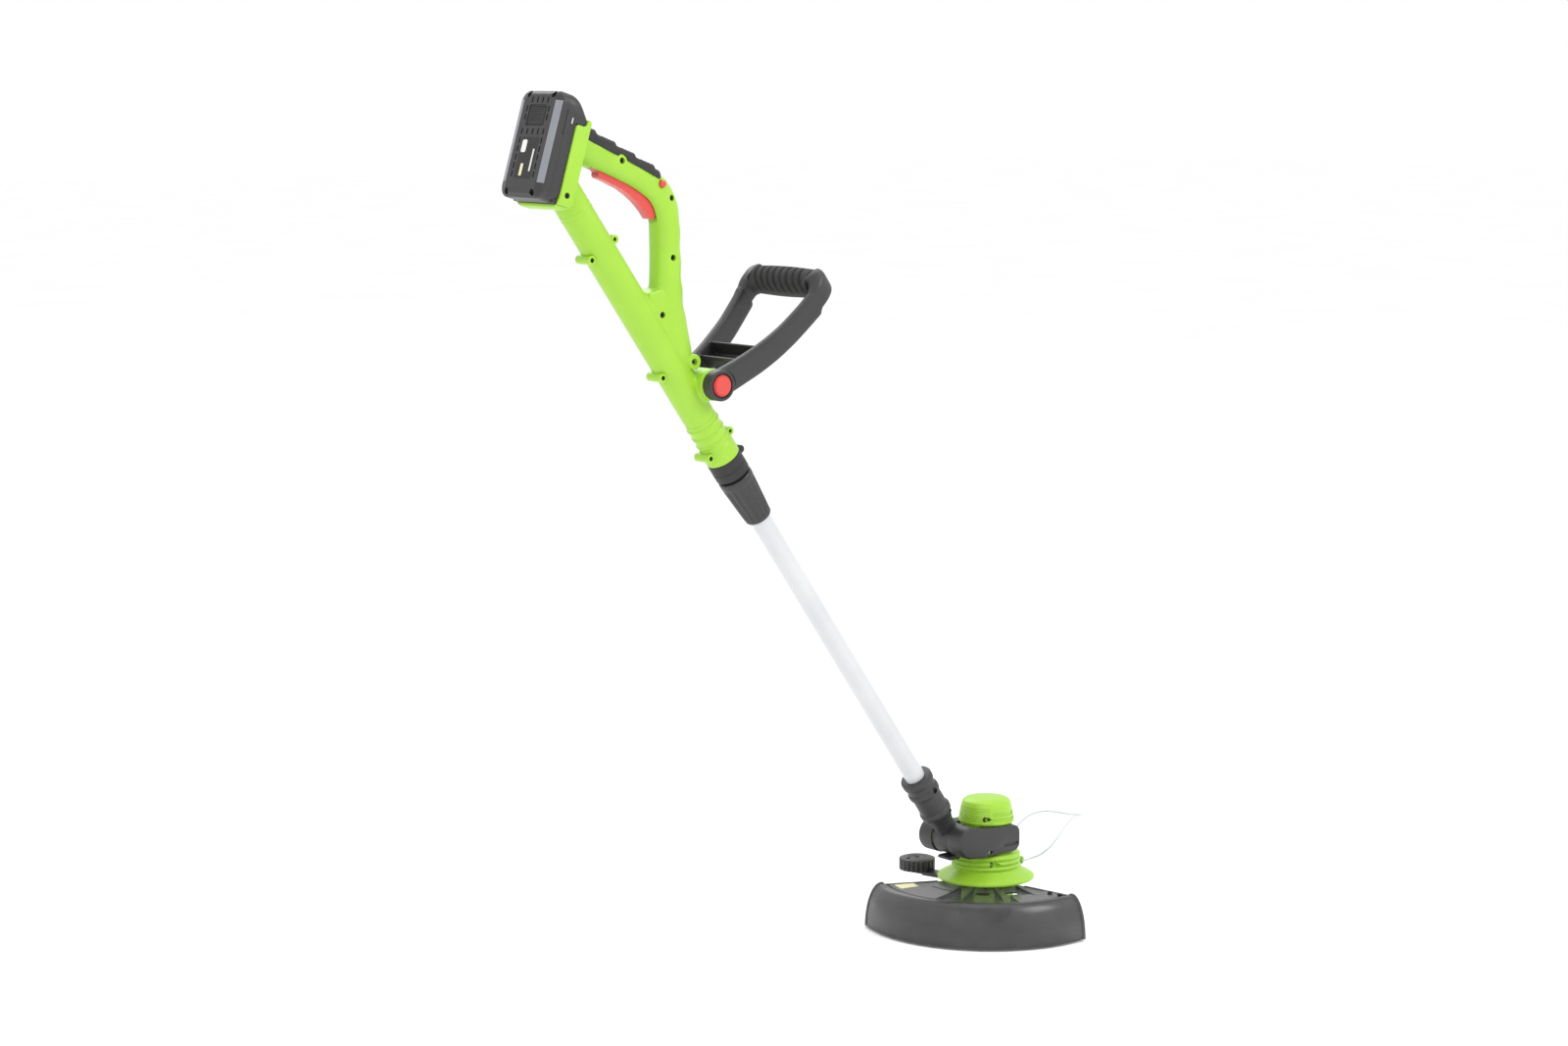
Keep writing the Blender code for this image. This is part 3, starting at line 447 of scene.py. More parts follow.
def metal(name, rgb, roughness, grain=(1.0, 1.0, 0.05), bump=0.06):
    """Drawn or turned metal, its fine marks stretched along one axis."""
    nodes = Nodes(name)
    marks = nodes.noise(0.35, 3.0, 0.6, nodes.stretched(grain))
    low, high = shaded(rgb, 0.86), shaded(rgb, 1.1)
    nodes.feed("Base Color", nodes.mixed(nodes.ranged(marks, 0.0, 1.0), low, high))
    nodes.feed("Roughness", nodes.ranged(marks, roughness - 0.06, roughness + 0.1))
    nodes.bump(marks, bump, 0.05)
    nodes.fix("Metallic", 1.0)
    return nodes.material


def coated_tube(name):
    """Pale silver powder coat over the tube, with a little orange peel."""
    nodes = Nodes(name)
    peel = nodes.noise(1.6, 2.0)
    tone = nodes.noise(60.0, 3.0)
    low, high = (0.55, 0.56, 0.58), (0.60, 0.61, 0.62)
    nodes.feed("Base Color", nodes.mixed(nodes.ranged(tone, 0.0, 1.0), low, high))
    nodes.feed("Roughness", nodes.ranged(peel, 0.26, 0.36))
    nodes.bump(peel, 0.08, 0.1)
    nodes.fix("Coat Weight", 0.3)
    nodes.fix("Coat Roughness", 0.15)
    return nodes.material


def smoked(name):
    """Smoked polycarbonate: dark, glossy and a little see-through."""
    nodes = Nodes(name)
    haze = nodes.noise(14.0, 5.0, 0.6)
    low, high = (0.034, 0.034, 0.035), (0.050, 0.050, 0.052)
    nodes.feed("Base Color", nodes.mixed(nodes.ranged(haze, 0.0, 1.0), low, high))
    nodes.feed("Roughness", nodes.ranged(nodes.noise(1.1, 3.0), 0.20, 0.28))
    nodes.bump(nodes.noise(3.0, 2.0), 0.05, 0.1)
    nodes.fix("Alpha", 0.84)
    return nodes.material


def make_materials():
    return {
        "green": moulded("lime_plastic", (0.31, 0.57, 0.035), 0.36, 0.55, 0.10, 0.03),
        "charcoal": moulded("charcoal_plastic", (0.028, 0.027, 0.029), 0.42, 0.45, 0.25, 0.08),
        "black": moulded("black_plastic", (0.014, 0.014, 0.015), 0.55, 0.5, 0.2, 0.1),
        "rubber": rubbery("grip_rubber", (0.026, 0.025, 0.026)),
        "red": moulded("red_plastic", (0.62, 0.062, 0.050), 0.33, 0.6, 0.06, 0.04),
        # painted reflection: this grey is used only on the pack's side chamfers, where it stands in for reflected
        # light
        "grey": moulded("chamfer_painted_reflection", (0.24, 0.25, 0.28), 0.38, 0.5, 0.1, 0.05),
        "white": moulded("white_label", (0.78, 0.78, 0.77), 0.45, 0.8, 0.04, 0.04),
        "yellow": moulded("pale_yellow_label", (0.78, 0.74, 0.42), 0.45, 0.8, 0.04, 0.06),
        "smoke": smoked("smoked_plastic"),
        "tube": coated_tube("silver_coat"),
        "wire": moulded("wire_coat", (0.52, 0.56, 0.57), 0.32, 0.9, 0.08, 0.06, 0.7),
        "steel": metal("bright_steel", (0.56, 0.57, 0.59), 0.30),
        "dark_steel": metal("blackened_screw", (0.045, 0.045, 0.05), 0.5),
        "copper": metal("enamelled_copper", (0.62, 0.25, 0.11), 0.33, (0.06, 1.0, 1.0), 0.3),
        "cell": moulded("cell_wrap", (0.09, 0.22, 0.5), 0.38, 1.0, 0.05, 0.1),
        "line": moulded("nylon_line", (0.82, 0.36, 0.05), 0.32, 0.7, 0.08, 0.05),
    }


MATERIALS = make_materials()


# ---------------------------------------------------------------- fasteners

def screw_head(name, place, x, y, z, body, radius=3.0, axis="Y", replaces=()):
    """A pan head with a six-lobed socket, facing back along the axis."""
    crown = arc(radius - 0.9, 0.7, 0.9, 0, -70, 4)
    dome = [(0.0, 1.9), (radius, 1.9), (radius, 0.7)] + crown + [(0.0, -0.35)]
    head = mesh_object(name, [turned(dome, 32)])
    lobes = []
    for i in range(36):
        angle = 2 * math.pi * i / 36
        reach = radius * (0.42 + 0.08 * math.cos(6 * angle))
        lobes.append((reach * math.cos(angle), reach * math.sin(angle)))
    cut(head, [upright(lobes, -2.0, 0.9)])
    if axis == "Y":
        lay = Matrix.Rotation(math.radians(-90), 4, "X")
    else:
        lay = Matrix.Rotation(math.pi / 2, 4, "Y")
    spot = place @ Matrix.Translation((x, y, z)) @ lay
    head.data.transform(Matrix.Scale(MM, 4) @ spot @ Matrix.Scale(1 / MM, 4))
    return dress(head, "dark_steel", body, replaces)


# ---------------------------------------------------------------- rear handle

GRIP_ROUTE = [(-618, 946), (-600, 938.5), (-570, 924.5), (-540, 911), (-512, 897.5), (-489, 881),
              (-478, 858), (-476, 830), (-475.5, 800), (-475, 770), (-471, 738), (-462, 706),
              (-452, 682)]
GRIP_HALF = [(22, 19), (20, 17.5), (18.5, 16), (17, 15.5), (16.5, 15.5), (17, 15.5), (17, 15.5),
             (17, 15.5), (17.5, 15.5), (19, 15.8), (20, 16), (18, 15), (12, 12)]
BOSS_LOW = [(878.5, -19.5), (718.5, -19.5), (605.5, -20.5)]
BOSS_HIGH = [(876.5, 19.5, 4.9, -8.0), (707.0, 23.0, 8.6, -14.0), (611.0, 20.5, 4.9, -8.0)]
INNER_BOSSES = [(-543.0, 916.0), (-477.0, 875.0), (-476.0, 811.0), (-490.0, 750.0)]
DOCK_BACK = 25.5


def grip_body():
    """The grip and riser, with four shallow finger scallops down the riser's front."""
    shape = sweep_between([(x, 0.0, z) for x, z in GRIP_ROUTE], GRIP_HALF, (0.0, 1.0, 0.0), 8, 40, 0.88)
    top, bottom, pitch, depth = 868.0, 744.0, 31.0, 1.5
    for vert in shape.verts:
        x, _, z = vert.co
        if bottom < z < top and x > -470.0:
            front = min(1.0, (x + 470.0) / 8.0)
            wave = 0.5 + 0.5 * math.cos(2 * math.pi * (z - bottom) / pitch + math.pi)
            vert.co.x -= depth * front * wave
    return shape


def tube_barrel():
    profile = [(0.0, 600.0), (18.0, 600.0), (18.2, 646.0), (18.5, 652.0), (18.5, 978.0), (0.0, 978.0)]
    return turned(profile, 72)


def tube_mouth():
    """Wide mouth of the tube housing and the three ring ribs above it."""
    profile = [(0.0, 590.0), (19.4, 590.0), (20.0, 590.6), (20.0, 607.4), (19.6, 608.4), (18.5, 611.2)]
    for ring in (616.0, 627.0, 638.0):
        profile += [(18.4, ring - 2.4)] + arc(17.5, ring, 2.1, -60, 60, 6) + [(18.4, ring + 2.4)]
    profile += [(18.4, 645.0), (0.0, 645.0)]
    return turned(profile, 96)


def band_line(s):
    """Fine raised line round the tube housing."""
    return turned([(0.0, s - 1.2), (18.4, s - 1.2), (18.72, s - 0.4), (18.72, s + 0.4), (18.4, s + 1.2),
                   (0.0, s + 1.2)], 96)


def dock_body():
    """Battery dock: side walls and a floor under the pack, its outer edges rounded."""
    outline = [(25.5, -57.9), (25.9, -60.2), (28.5, -61.5)]
    outline += arc(36.0, -53.5, 8.0, -90, 0, 8) + arc(40.0, 32.5, 4.0, 0, 90, 6) + [(38.8, 36.5)]
    outline += arc(34.5, 32.3, 4.0, 0, -90, 4)
    outline += [(28.0, 28.3), (25.5, 26.0)]
    body = mesh_object("dock_form", [prism(outline, -39.5, 39.5)], DOCK)
    bevelled(body, 1.6, 4, 50)
    around = [(-39.5, 60.0), (-39.5, -47.5)] + arc(-26.0, -48.0, 13.5, 180, 270, 10)
    around += arc(26.0, -48.0, 13.5, 270, 360, 10) + [(39.5, 60.0)]
    return within(body, loft([(0.0, around), (60.0, around)]), DOCK)


def pack_room():
    back = DOCK_BACK - 0.3
    outline = [(-9.0, -60.0), (back, -60.0), (back, -35.5), (40.0, -35.5), (40.0, 35.5), (back, 35.5),
               (back, 60.0), (-9.0, 60.0)]
    return upright(outline, -57.8, 90.0)


def trigger_slot():
    outline = [(-35.0, -34.0), (-34.5, -8.0), (-20.0, -7.5), (10.0, -5.2), (40.0, -4.0), (60.0, -6.8),
               (68.6, -12.0), (68.6, -44.0)]
    return prism(outline, -7.6, 7.6)


def screw_well(x, z, face, floor):
    return rod(3.5, face, floor, x, z, 28)


PAD_BACK, PAD_FRONT, PAD_FLOOR = -56.3, 49.3, 5.2
PAD_BOSS_X, PAD_BOSS_Z, PAD_BOSS_R = -4.8, 3.3, 7.0


def pad_region(grow):
    """Side outline of the grip pad, with the bite that the screw boss takes out of its lower edge."""
    low, high = PAD_FLOOR + grow, 40.0
    bite = arc(PAD_BOSS_X, PAD_BOSS_Z, PAD_BOSS_R + grow, 180, 0, 16)
    bite = [(x, z) for x, z in bite if z > low]
    return prism([(PAD_BACK + grow, low)] + bite + [(PAD_FRONT - grow, low), (PAD_FRONT - grow, high),
                                                    (PAD_BACK + grow, high)], -40.0, 40.0)


def merged(name, shapes):
    """One object from (bmesh, local frame) pairs, its shells still overlapping."""
    form = mesh_object(name, [])
    joined = bmesh.new()
    for shape, place in shapes:
        part = mesh_object("part", [shape], place)
        joined.from_mesh(part.data)
        bpy.data.objects.remove(part)
    joined.to_mesh(form.data)
    joined.free()
    return form


def make_handle_shells():
    web = prism([(-508.0, 774.0), (-492.0, 778.0), (-470.0, 744.0), (-459.0, 712.0), (-474.0, 706.0),
                 (-500.0, 742.0)], -14.2, 14.2)
    form = merged("handle_form", [(tube_barrel(), SHAFT), (grip_body(), WORLD), (web, WORLD),
                                  (rod(17.5, -25.4, 25.4, segments=56, edge=0.8), AUX)])
    melt(form, 1.15, 22)
    lugs = [rod(5.0, -12.5, 12.5, t, s, edge=0.8) for s, t in BOSS_LOW]
    lugs += [rod(r, face, 8.0, t, s, edge=0.8) for s, t, r, face in BOSS_HIGH]
    rings = [tube_mouth(), band_line(925.0), band_line(931.0)]
    crisp = [mesh_object("crisp", [shape], SHAFT) for shape in rings + lugs]
    combine(form, "UNION", [dock_body()] + crisp)
    cut(form, [pack_room()], DOCK)
    cut(form, [trigger_slot(), rod(4.4, -25.0, 25.0, 53.5, 1.5)], GRIP)
    cut(form, [turned(disc(15.0, 582.0, 970.0), 64)]
        + [rod(2.7, -16.0, -9.0, t, s) for s, t in BOSS_LOW]
        + [rod(0.45 * r, face - 2.0, face + 3.5, t, s) for s, t, r, face in BOSS_HIGH], SHAFT)
    cut(form, [rod(6.4, -30.0, 30.0)], AUX)
    cut(form, [screw_well(x, z, -22.0, -10.3) for x, z in INNER_BOSSES])
    cut(form, [rod(3.3, -42.0, -36.8, 34.0, -46.0),
               block((36.0, -12.3, -10.3), (50.0, 12.3, 10.3))], DOCK)
    seat = mesh_object("pad_seat", [pad_region(0.0)], GRIP)
    core = sweep_between([(-70.0, 0.0, 2.6), (-30.0, 0.0, 1.0), (10.0, 0.0, 0.0), (40.0, 0.0, -0.8),
                          (70.0, 0.0, -2.0)], [(15.6, 14.3)] * 5, (0.0, 1.0, 0.0), 4, 40, 0.9)
    cut(seat, [core], GRIP)
    combine(form, "DIFFERENCE", [seat])
    for half, node in zip(halves(form, "handle_shell"), ("housing_right", "housing_left")):
        dress(half, "green", "handle", [node], 30)


def make_grip_pads():
    """Soft pads whose tops step forward in four scales, with fine ribs behind each step."""
    scales, ribs_per_scale = 4, 6
    length = PAD_FRONT - PAD_BACK
    steps = 168
    path, sizes = [], []
    for i in range(steps + 1):
        share = i / steps
        x = PAD_BACK - 4.0 + (length + 8.0) * share
        along = (share * scales + 0.35) % 1.0
        swell = 2.7 * along ** 1.3 if along < 0.86 else 2.7 * 0.86 ** 1.3 * (1.0 - along) / 0.14
        rib = 0.5 * math.cos(2 * math.pi * share * scales * ribs_per_scale) * (along > 0.3)
        path.append(Vector((x, 0.0, 2.2 - 0.037 * (x - PAD_BACK))))
        sizes.append((17.3 + swell + rib, 16.4 + 0.35 * swell + 0.6 * rib))
    pad = mesh_object("pad_form", [swept(path, (0.0, 1.0, 0.0), sizes, 64, 0.88)], GRIP)
    inner_path = [Vector((-80.0, 0.0, 3.0)), Vector((80.0, 0.0, -2.3))]
    cut(pad, [swept(inner_path, (0.0, 1.0, 0.0), [(15.9, 14.6)] * 2, 48, 0.9)], GRIP)
    within(pad, pad_region(0.25), GRIP)
    for half, node in zip(halves(pad, "pad"), ("grip_pad_right", "grip_pad_left")):
        dress(half, "rubber", "handle", [node], 50)


def make_handle_screws():
    for index, (x, z) in enumerate(INNER_BOSSES):
        screw_head(f"handle_screw_{index + 1}", WORLD, x, -12.4, z, "handle",
                   replaces=[f"housing_screw_{index + 1}"])
    low = {0: 5, 2: 6}
    for index, (s, t) in enumerate(BOSS_LOW):
        stands_for = [f"housing_screw_{low[index]}"] if index in low else ()
        screw_head(f"lug_screw_{index + 1}", SHAFT, t, -11.0, s, "handle", 2.5, replaces=stands_for)
    for index, (s, t, _, face) in enumerate(BOSS_HIGH):
        screw_head(f"upper_lug_screw_{index + 1}", SHAFT, t, face + 1.8, s, "handle", 2.1)
    screw_head("dock_screw", DOCK, 34.0, -38.6, -46.0, "handle", 2.9)


def make_collar():
    profile = [(12.4, 566.5), (19.4, 566.5), (20.0, 567.2), (20.0, 576.0), (19.5, 576.5), (19.5, 577.5),
               (20.0, 578.0), (20.0, 589.0), (19.4, 589.7), (12.4, 589.7)]
    catch = rod(4.5, -6.0, 6.0, 21.5, 584.0, edge=0.6)
    collar = mesh_object("collar", [turned(profile, 72), catch], SHAFT)
    cut(collar, [turned(disc(12.4, 560.0, 595.0), 72)], SHAFT)
    dress(collar, "black", "handle", ["shaft_collar"])


def make_trigger():
    lower = arc(8.0, -4.4, 4.0, 170, 265, 6) + [(15.0, -7.8), (39.0, -7.6), (52.0, -9.4), (62.0, -11.8),
                                                (70.0, -14.6), (78.0, -18.0)]
    lower += arc(86.3, -18.0, 4.2, -110, 0, 6)
    upper = [(90.6, -11.0), (87.5, -5.5), (82.0, -1.8), (66.0, 2.0), (36.0, 4.5), (8.0, 4.6), (0.0, 4.6),
             (-4.0, 3.8), (-5.4, 1.2), (-4.4, -1.4), (0.5, -2.2)]
    trigger = mesh_object("trigger_lever", [prism(lower + upper, -6.4, 6.4)], TRIGGER)
    cut(trigger, [rod(1.2, -9.0, 9.0)], TRIGGER)
    bevelled(trigger, 2.6, 5, 50)
    dress(trigger, "red", "trigger", ["trigger"], 40)
    pin = mesh_object("trigger_axle", [rod(1.1, -7.2, 7.2)], TRIGGER)
    dress(pin, "steel", "handle", ["trigger_pin"])


def make_lock_button():
    profile = [(0.0, -18.6), (2.2, -18.6)] + arc(2.4, -16.9, 1.6, -80, 0, 6)
    profile += arc(2.4, 16.9, 1.6, 0, 80, 6) + [(2.2, 18.6), (0.0, 18.6)]
    button = mesh_object("lock_off_button", [moved(turned(profile, 40, "Y"), x=53.5, z=1.5)], GRIP)
    dress(button, "red", "lock_button", ["lock_button"])


# ---------------------------------------------------------------- auxiliary handle

AUX_ROUTE = [(8.0, -0.5, 33.0), (30.0, -3.0, 38.5), (50.0, -4.5, 43.5), (72.0, -4.5, 49.0),
             (95.0, -3.0, 53.5), (116.0, 0.2, 57.5), (130.0, 2.8, 60.0), (139.5, 5.2, 61.8),
             (141.5, 7.2, 62.0), (150.0, 10.8, 61.6), (156.0, 13.2, 59.0), (159.8, 15.1, 55.0),
             (160.5, 15.5, 49.6)]
AUX_HALF = [(6.0, 15.5), (5.7, 14.8), (5.5, 14.5), (5.5, 14.0), (5.7, 13.4), (5.9, 13.2),
            (6.0, 13.2), (6.6, 13.2), (6.8, 11.3), (8.4, 12.2), (10.2, 13.4), (12.6, 14.2),
            (14.4, 14.5)]
GRIP_T, GRIP_S = 160.5, 15.5


def aux_arm(side):
    """One arm from its pivot to the end of the grip; side is -1 for the tool's right."""
    points = [(t, side * y, s) for t, s, y in AUX_ROUTE]
    return sweep_between(points, AUX_HALF, (0.0, 0.0, 1.0), 8, 48, 0.42)


def make_aux_frame():
    """U-frame: flat arms, pivot rings, a cross channel open upwards and its tab."""
    shapes = [aux_arm(-1), aux_arm(1), rod(8.0, -56.0, 56.0, GRIP_T, GRIP_S)]
    for side in (-1, 1):
        low, high = span(side, 26.0, 40.0)
        shapes.append(rod(17.0, low, high, segments=64, edge=0.8))
    channel = [(36.5, 6.0), (36.5, -11.0), (38.0, -12.5), (61.5, -12.5), (63.0, -11.0), (63.0, 6.0),
               (60.4, 6.0), (59.8, -9.5), (39.8, -9.5), (39.1, 6.0)]
    shapes.append(prism(channel, -43.0, 43.0))
    tab = [(26.5, -13.5), (37.0, -12.0), (37.0, 3.0), (30.5, -4.0)]
    shapes.append(prism(tab, -8.0, 8.0))
    form = mesh_object("aux_arms", shapes, AUX)
    melt(form, 0.85, 3)
    cut(form, [prism([(-19.0, -19.0), (24.5, -19.0), (24.5, 19.0), (-19.0, 19.0)], -25.8, 25.8)]
        + [rod(12.3, *span(side, 28.5, 48.0), segments=48) for side in (-1, 1)]
        + [rod(13.6, *span(side, 37.0, 48.0), segments=64) for side in (-1, 1)]
        + [rod(17.6, *span(side, 40.3, 60.0), segments=64) for side in (-1, 1)]
        + [rod(6.4, -50.0, 50.0)], AUX)
    dress(form, "charcoal", "aux_handle", ["aux_frame"])


def make_aux_grip():
    """Soft sleeve over the crossbar, with eight slanted, rounded grooves over its upper half."""
    half = 49.5
    sides, steps = 112, 220
    grooves, pitch, top, reach = 8, 11.0, math.radians(118.0), 1.15
    rings = []
    for i in range(steps + 1):
        y = -half + 2 * half * i / steps
        swell = 15.2 + 1.6 * math.cos(math.pi * y / (2.4 * half)) ** 1.2
        if abs(y) > half - 1.6:
            swell -= 1.6 * (1.0 - math.sqrt(max(0.0, 1.0 - ((abs(y) - half + 1.6) / 1.6) ** 2)))
        ring = []
        for k in range(sides):
            angle = 2 * math.pi * k / sides
            away = (angle - top + math.pi) % (2 * math.pi) - math.pi
            lane = (y + 6.5 * away + 1.5 * away * away) / pitch + grooves / 2
            off = abs(lane % 1.0 - 0.5) * pitch
            inside = 0.0 < lane < grooves and abs(y) < half - 3.0
            width = 2.3 * math.sqrt(max(0.0, 1.0 - (away / reach) ** 4))
            depth = 3.0 * min(1.0, max(0.0, (width - off) / 0.7)) if inside else 0.0
            ring.append(((swell - depth) * math.cos(angle), y, (swell - depth) * math.sin(angle)))
        rings.append(ring)
    grip = mesh_object("aux_rubber_grip", [moved(skin(rings), x=GRIP_T, z=GRIP_S)], AUX)
    dress(grip, "rubber", "aux_handle", ["aux_grip"], 60)


def make_aux_buttons():
    """Red release buttons with a knurled rim."""
    teeth = 36
    for suffix, side in (("right", -1), ("left", 1)):
        rim = []
        for i in range(teeth * 4):
            angle = 2 * math.pi * i / (teeth * 4)
            radius = 12.0 if i % 4 in (0, 1) else 11.1
            rim.append((radius * math.cos(angle), radius * math.sin(angle)))
        low, high = span(side, 33.0, 40.2)
        face = [(0.0, 39.5), (10.2, 39.5), (10.2, 41.0), (9.8, 41.6), (0.0, 41.9)]
        shapes = [prism(rim, low, high)]
        crown = turned(face, 48, "Y")
        stem = turned(disc(5.9, 12.5, 33.4), 40, "Y")
        if side < 0:
            turn(crown, 180, "X")
            turn(stem, 180, "X")
        shapes += [crown, stem]
        button = mesh_object(f"aux_release_{suffix}", shapes, AUX)
        dress(button, "red", f"aux_button_{suffix}", [f"aux_button_{suffix}"])


# ---------------------------------------------------------------- shaft

def make_tube():
    profile = [(10.8, 48.0), (12.0, 48.0), (12.0, 770.0), (10.8, 770.0)]
    tube = mesh_object("shaft_tube", [turned(profile, 96)], SHAFT)
    dress(tube, "tube", "shaft", ["tube"])


def make_twist_sleeve():
    """Clamp sleeve: tapering, with broad flutes between two plain bands."""
    flutes, per_flute = 16, 6
    count = flutes * per_flute
    levels = []
    steps = 40
    for i in range(steps + 1):
        s = 503.0 + 60.0 * i / steps
        radius = 15.4 + (19.9 - 15.4) * min(1.0, (s - 503.0) / 54.0) ** 0.9
        fade = min(1.0, max(0.0, (s - 507.0) / 4.0)) * min(1.0, max(0.0, (556.0 - s) / 3.0))
        levels.append((radius - (0.8 if i in (0, steps) else 0.0), s, fade))
    rings = []
    for radius, s, fade in levels:
        ring = []
        for k in range(count):
            angle = 2 * math.pi * k / count
            dip = 1.5 * fade * (0.5 - 0.5 * math.cos(flutes * angle)) ** 0.7
            ring.append(((radius - dip) * math.cos(angle), (radius - dip) * math.sin(angle), s))
        rings.append(ring)
    sleeve = mesh_object("clamp_sleeve", [skin(rings)], SHAFT)
    bore = [(0.0, 500.0), (12.4, 500.0), (12.4, 524.0), (15.9, 526.0), (15.9, 570.0), (0.0, 570.0)]
    cut(sleeve, [turned(bore, 72)], SHAFT)
    dress(sleeve, "charcoal", "twist_sleeve", ["twist_sleeve"], 45)


def make_neck():
    outer = [(0.0, 10.0), (12.5, 10.0), (13.0, 25.0), (16.8, 41.0)]
    outer += [(19.0, 43.2), (19.3, 45.0), (19.3, 47.6), (18.9, 49.0), (17.5, 50.2)]
    outer += [(17.3, 73.2), (19.0, 74.6), (19.3, 76.0), (19.3, 79.6), (18.9, 81.0), (17.5, 82.2)]
    outer += [(17.3, 89.6), (19.1, 91.0), (19.4, 92.4), (19.4, 98.0), (18.6, 99.8), (17.6, 100.2)]
    outer += [(0.0, 100.2)]
    form = mesh_object("neck_form", [turned(outer, 96)], SHAFT)
    add(form, [rod(18.5, -13.9, 13.9, segments=96, edge=1.0)], SHAFT)
    cut(form, [turned(disc(12.15, 47.5, 110.0), 72), turned(disc(6.0, 14.0, 60.0), 32),
               rod(4.4, -20.0, 20.0), rod(3.4, -30.0, -15.2, 3.0, 79.0),
               rod(3.4, -30.0, -10.0, 10.0, 38.0)], SHAFT)
    for half, node in zip(halves(form, "neck_shell"), ("neck_right", "neck_left")):
        dress(half, "charcoal", "shaft", [node])
    screw_head("neck_upper_screw", SHAFT, 3.0, -17.2, 79.0, "shaft", replaces=["neck_screw_1"])
    screw_head("neck_lower_screw", SHAFT, 10.0, -12.0, 38.0, "shaft", replaces=["neck_screw_2"])


# ---------------------------------------------------------------- head

WAIST_R, WAIST_LOW, WAIST_TOP = 31.5, 86.0, 121.3


def head_profile():
    """Section of the motor housing: down the outside to the skirt, then back up the inside."""
    outer = [(0.0, 150.8), (12.0, 150.6), (20.0, 150.0), (25.0, 148.9), (28.2, 146.6), (29.5, 143.4),
             (30.0, 141.2), (32.0, 131.6), (33.4, 122.4), (33.2, 121.6),
             (WAIST_R, WAIST_TOP), (WAIST_R, WAIST_LOW), (38.6, 84.8)]
    for low in (78.5, 72.5, 66.5):
        outer += [(38.9, low + 5.8)] + arc(38.6, low + 3.1, 2.6, 72, -72, 8) + [(38.9, low + 0.3)]
    outer += [(40.0, 65.8), (42.0, 64.2), (45.0, 62.6), (49.5, 60.2), (55.0, 57.2), (57.6, 55.4),
              (58.0, 54.2), (57.8, 53.0)]
    inner = [(55.5, 53.0), (47.0, 57.8), (38.0, 61.6), (37.0, 69.5), (8.0, 69.5), (8.0, 73.0),
             (28.8, 73.0), (28.8, 121.0), (30.8, 122.5), (27.3, 143.0), (22.0, 147.4), (0.0, 148.8)]
    return outer + inner


def racetrack(low, high, rear, front):
    """Side-cover outline: round at the tilt axis, blunt and rounded at the front."""
    x, z = TILT.x, TILT.z
    outline = arc(x, z, rear, 100, 260, 24)
    outline += [(x + 14, low), (front - 11, low + 1.2)]
    outline += arc(front - 10, low + 11.2, 10.0, -90, 0, 8)
    outline += arc(front - 10, high - 10.8, 10.0, 0, 90, 8)
    return outline + [(front - 14, high - 0.7), (x + 17, high)]


def teardrop(x, z, radius, reach, low, high):
    """A round well with a tail that runs forward to a point."""
    tail = [(x + reach, z)]
    return prism(arc(x, z, radius, 50, 310, 20) + tail, low, high)


def make_head_shells():
    lug = arc(TILT.x, TILT.z, 16.8, 100, 260, 24) + [(-27.0, TILT.z - 14.0), (-27.0, TILT.z + 9.0)]
    form = mesh_object("head_form", [turned(head_profile(), 128)])
    extra = []
    for side in (-1, 1):
        extra.append(prism(lug, *span(side, 14.3, 17.0)))
        extra.append(rod(5.6, *span(side, 9.0, 14.6), 44.0, 68.0, edge=0.7))
        root = [(37.0, 63.0), (46.0, 62.6), (46.0, 73.2), (37.0, 75.0)]
        extra.append(prism(root, *span(side, 10.0, 14.0)))
    for shape in extra:
        add(form, [shape])
    cut(form, [rod(4.4, -40.0, 40.0, TILT.x, TILT.z), rod(2.6, -30.0, 30.0, 44.0, 68.0)])
    for low, depth in ((125.0, 30.9), (131.4, 30.0)):
        vent = [(depth, low), (40.0, low), (40.0, low + 4.0), (depth - 0.3, low + 4.0)]
        cut(form, [turned(vent, 40, start=start, end=start + 80.0) for start in (242.0, 38.0)])
    for index in range(6):
        low, bottom = 125.6 + 2.9 * index, 32.35 - 0.6 * index
        groove = [(bottom, low), (36.0, low), (36.0, low + 0.7), (bottom, low + 0.7)]
        cut(form, [turned(groove, 48, start=128.0, end=236.0)])
    for side in (-1, 1):
        cut(form, [teardrop(-22.0, 128.6, 3.6, 6.4, *span(side, 23.4, 60.0)),
                   teardrop(-21.0, 75.5, 4.4, 10.0, *span(side, 33.6, 60.0))])
    bevelled(form, 0.35, 2, 40)
    for half, node in zip(halves(form, "head_shell"), ("head_housing_right", "head_housing_left")):
        dress(half, "green", "head", [node], 32)
    screw_head("cap_screw", WORLD, -22.0, -23.4, 128.6, "head", replaces=["head_screw_1"])
    screw_head("rib_screw", WORLD, -21.0, -33.6, 75.5, "head", replaces=["head_screw_2"])


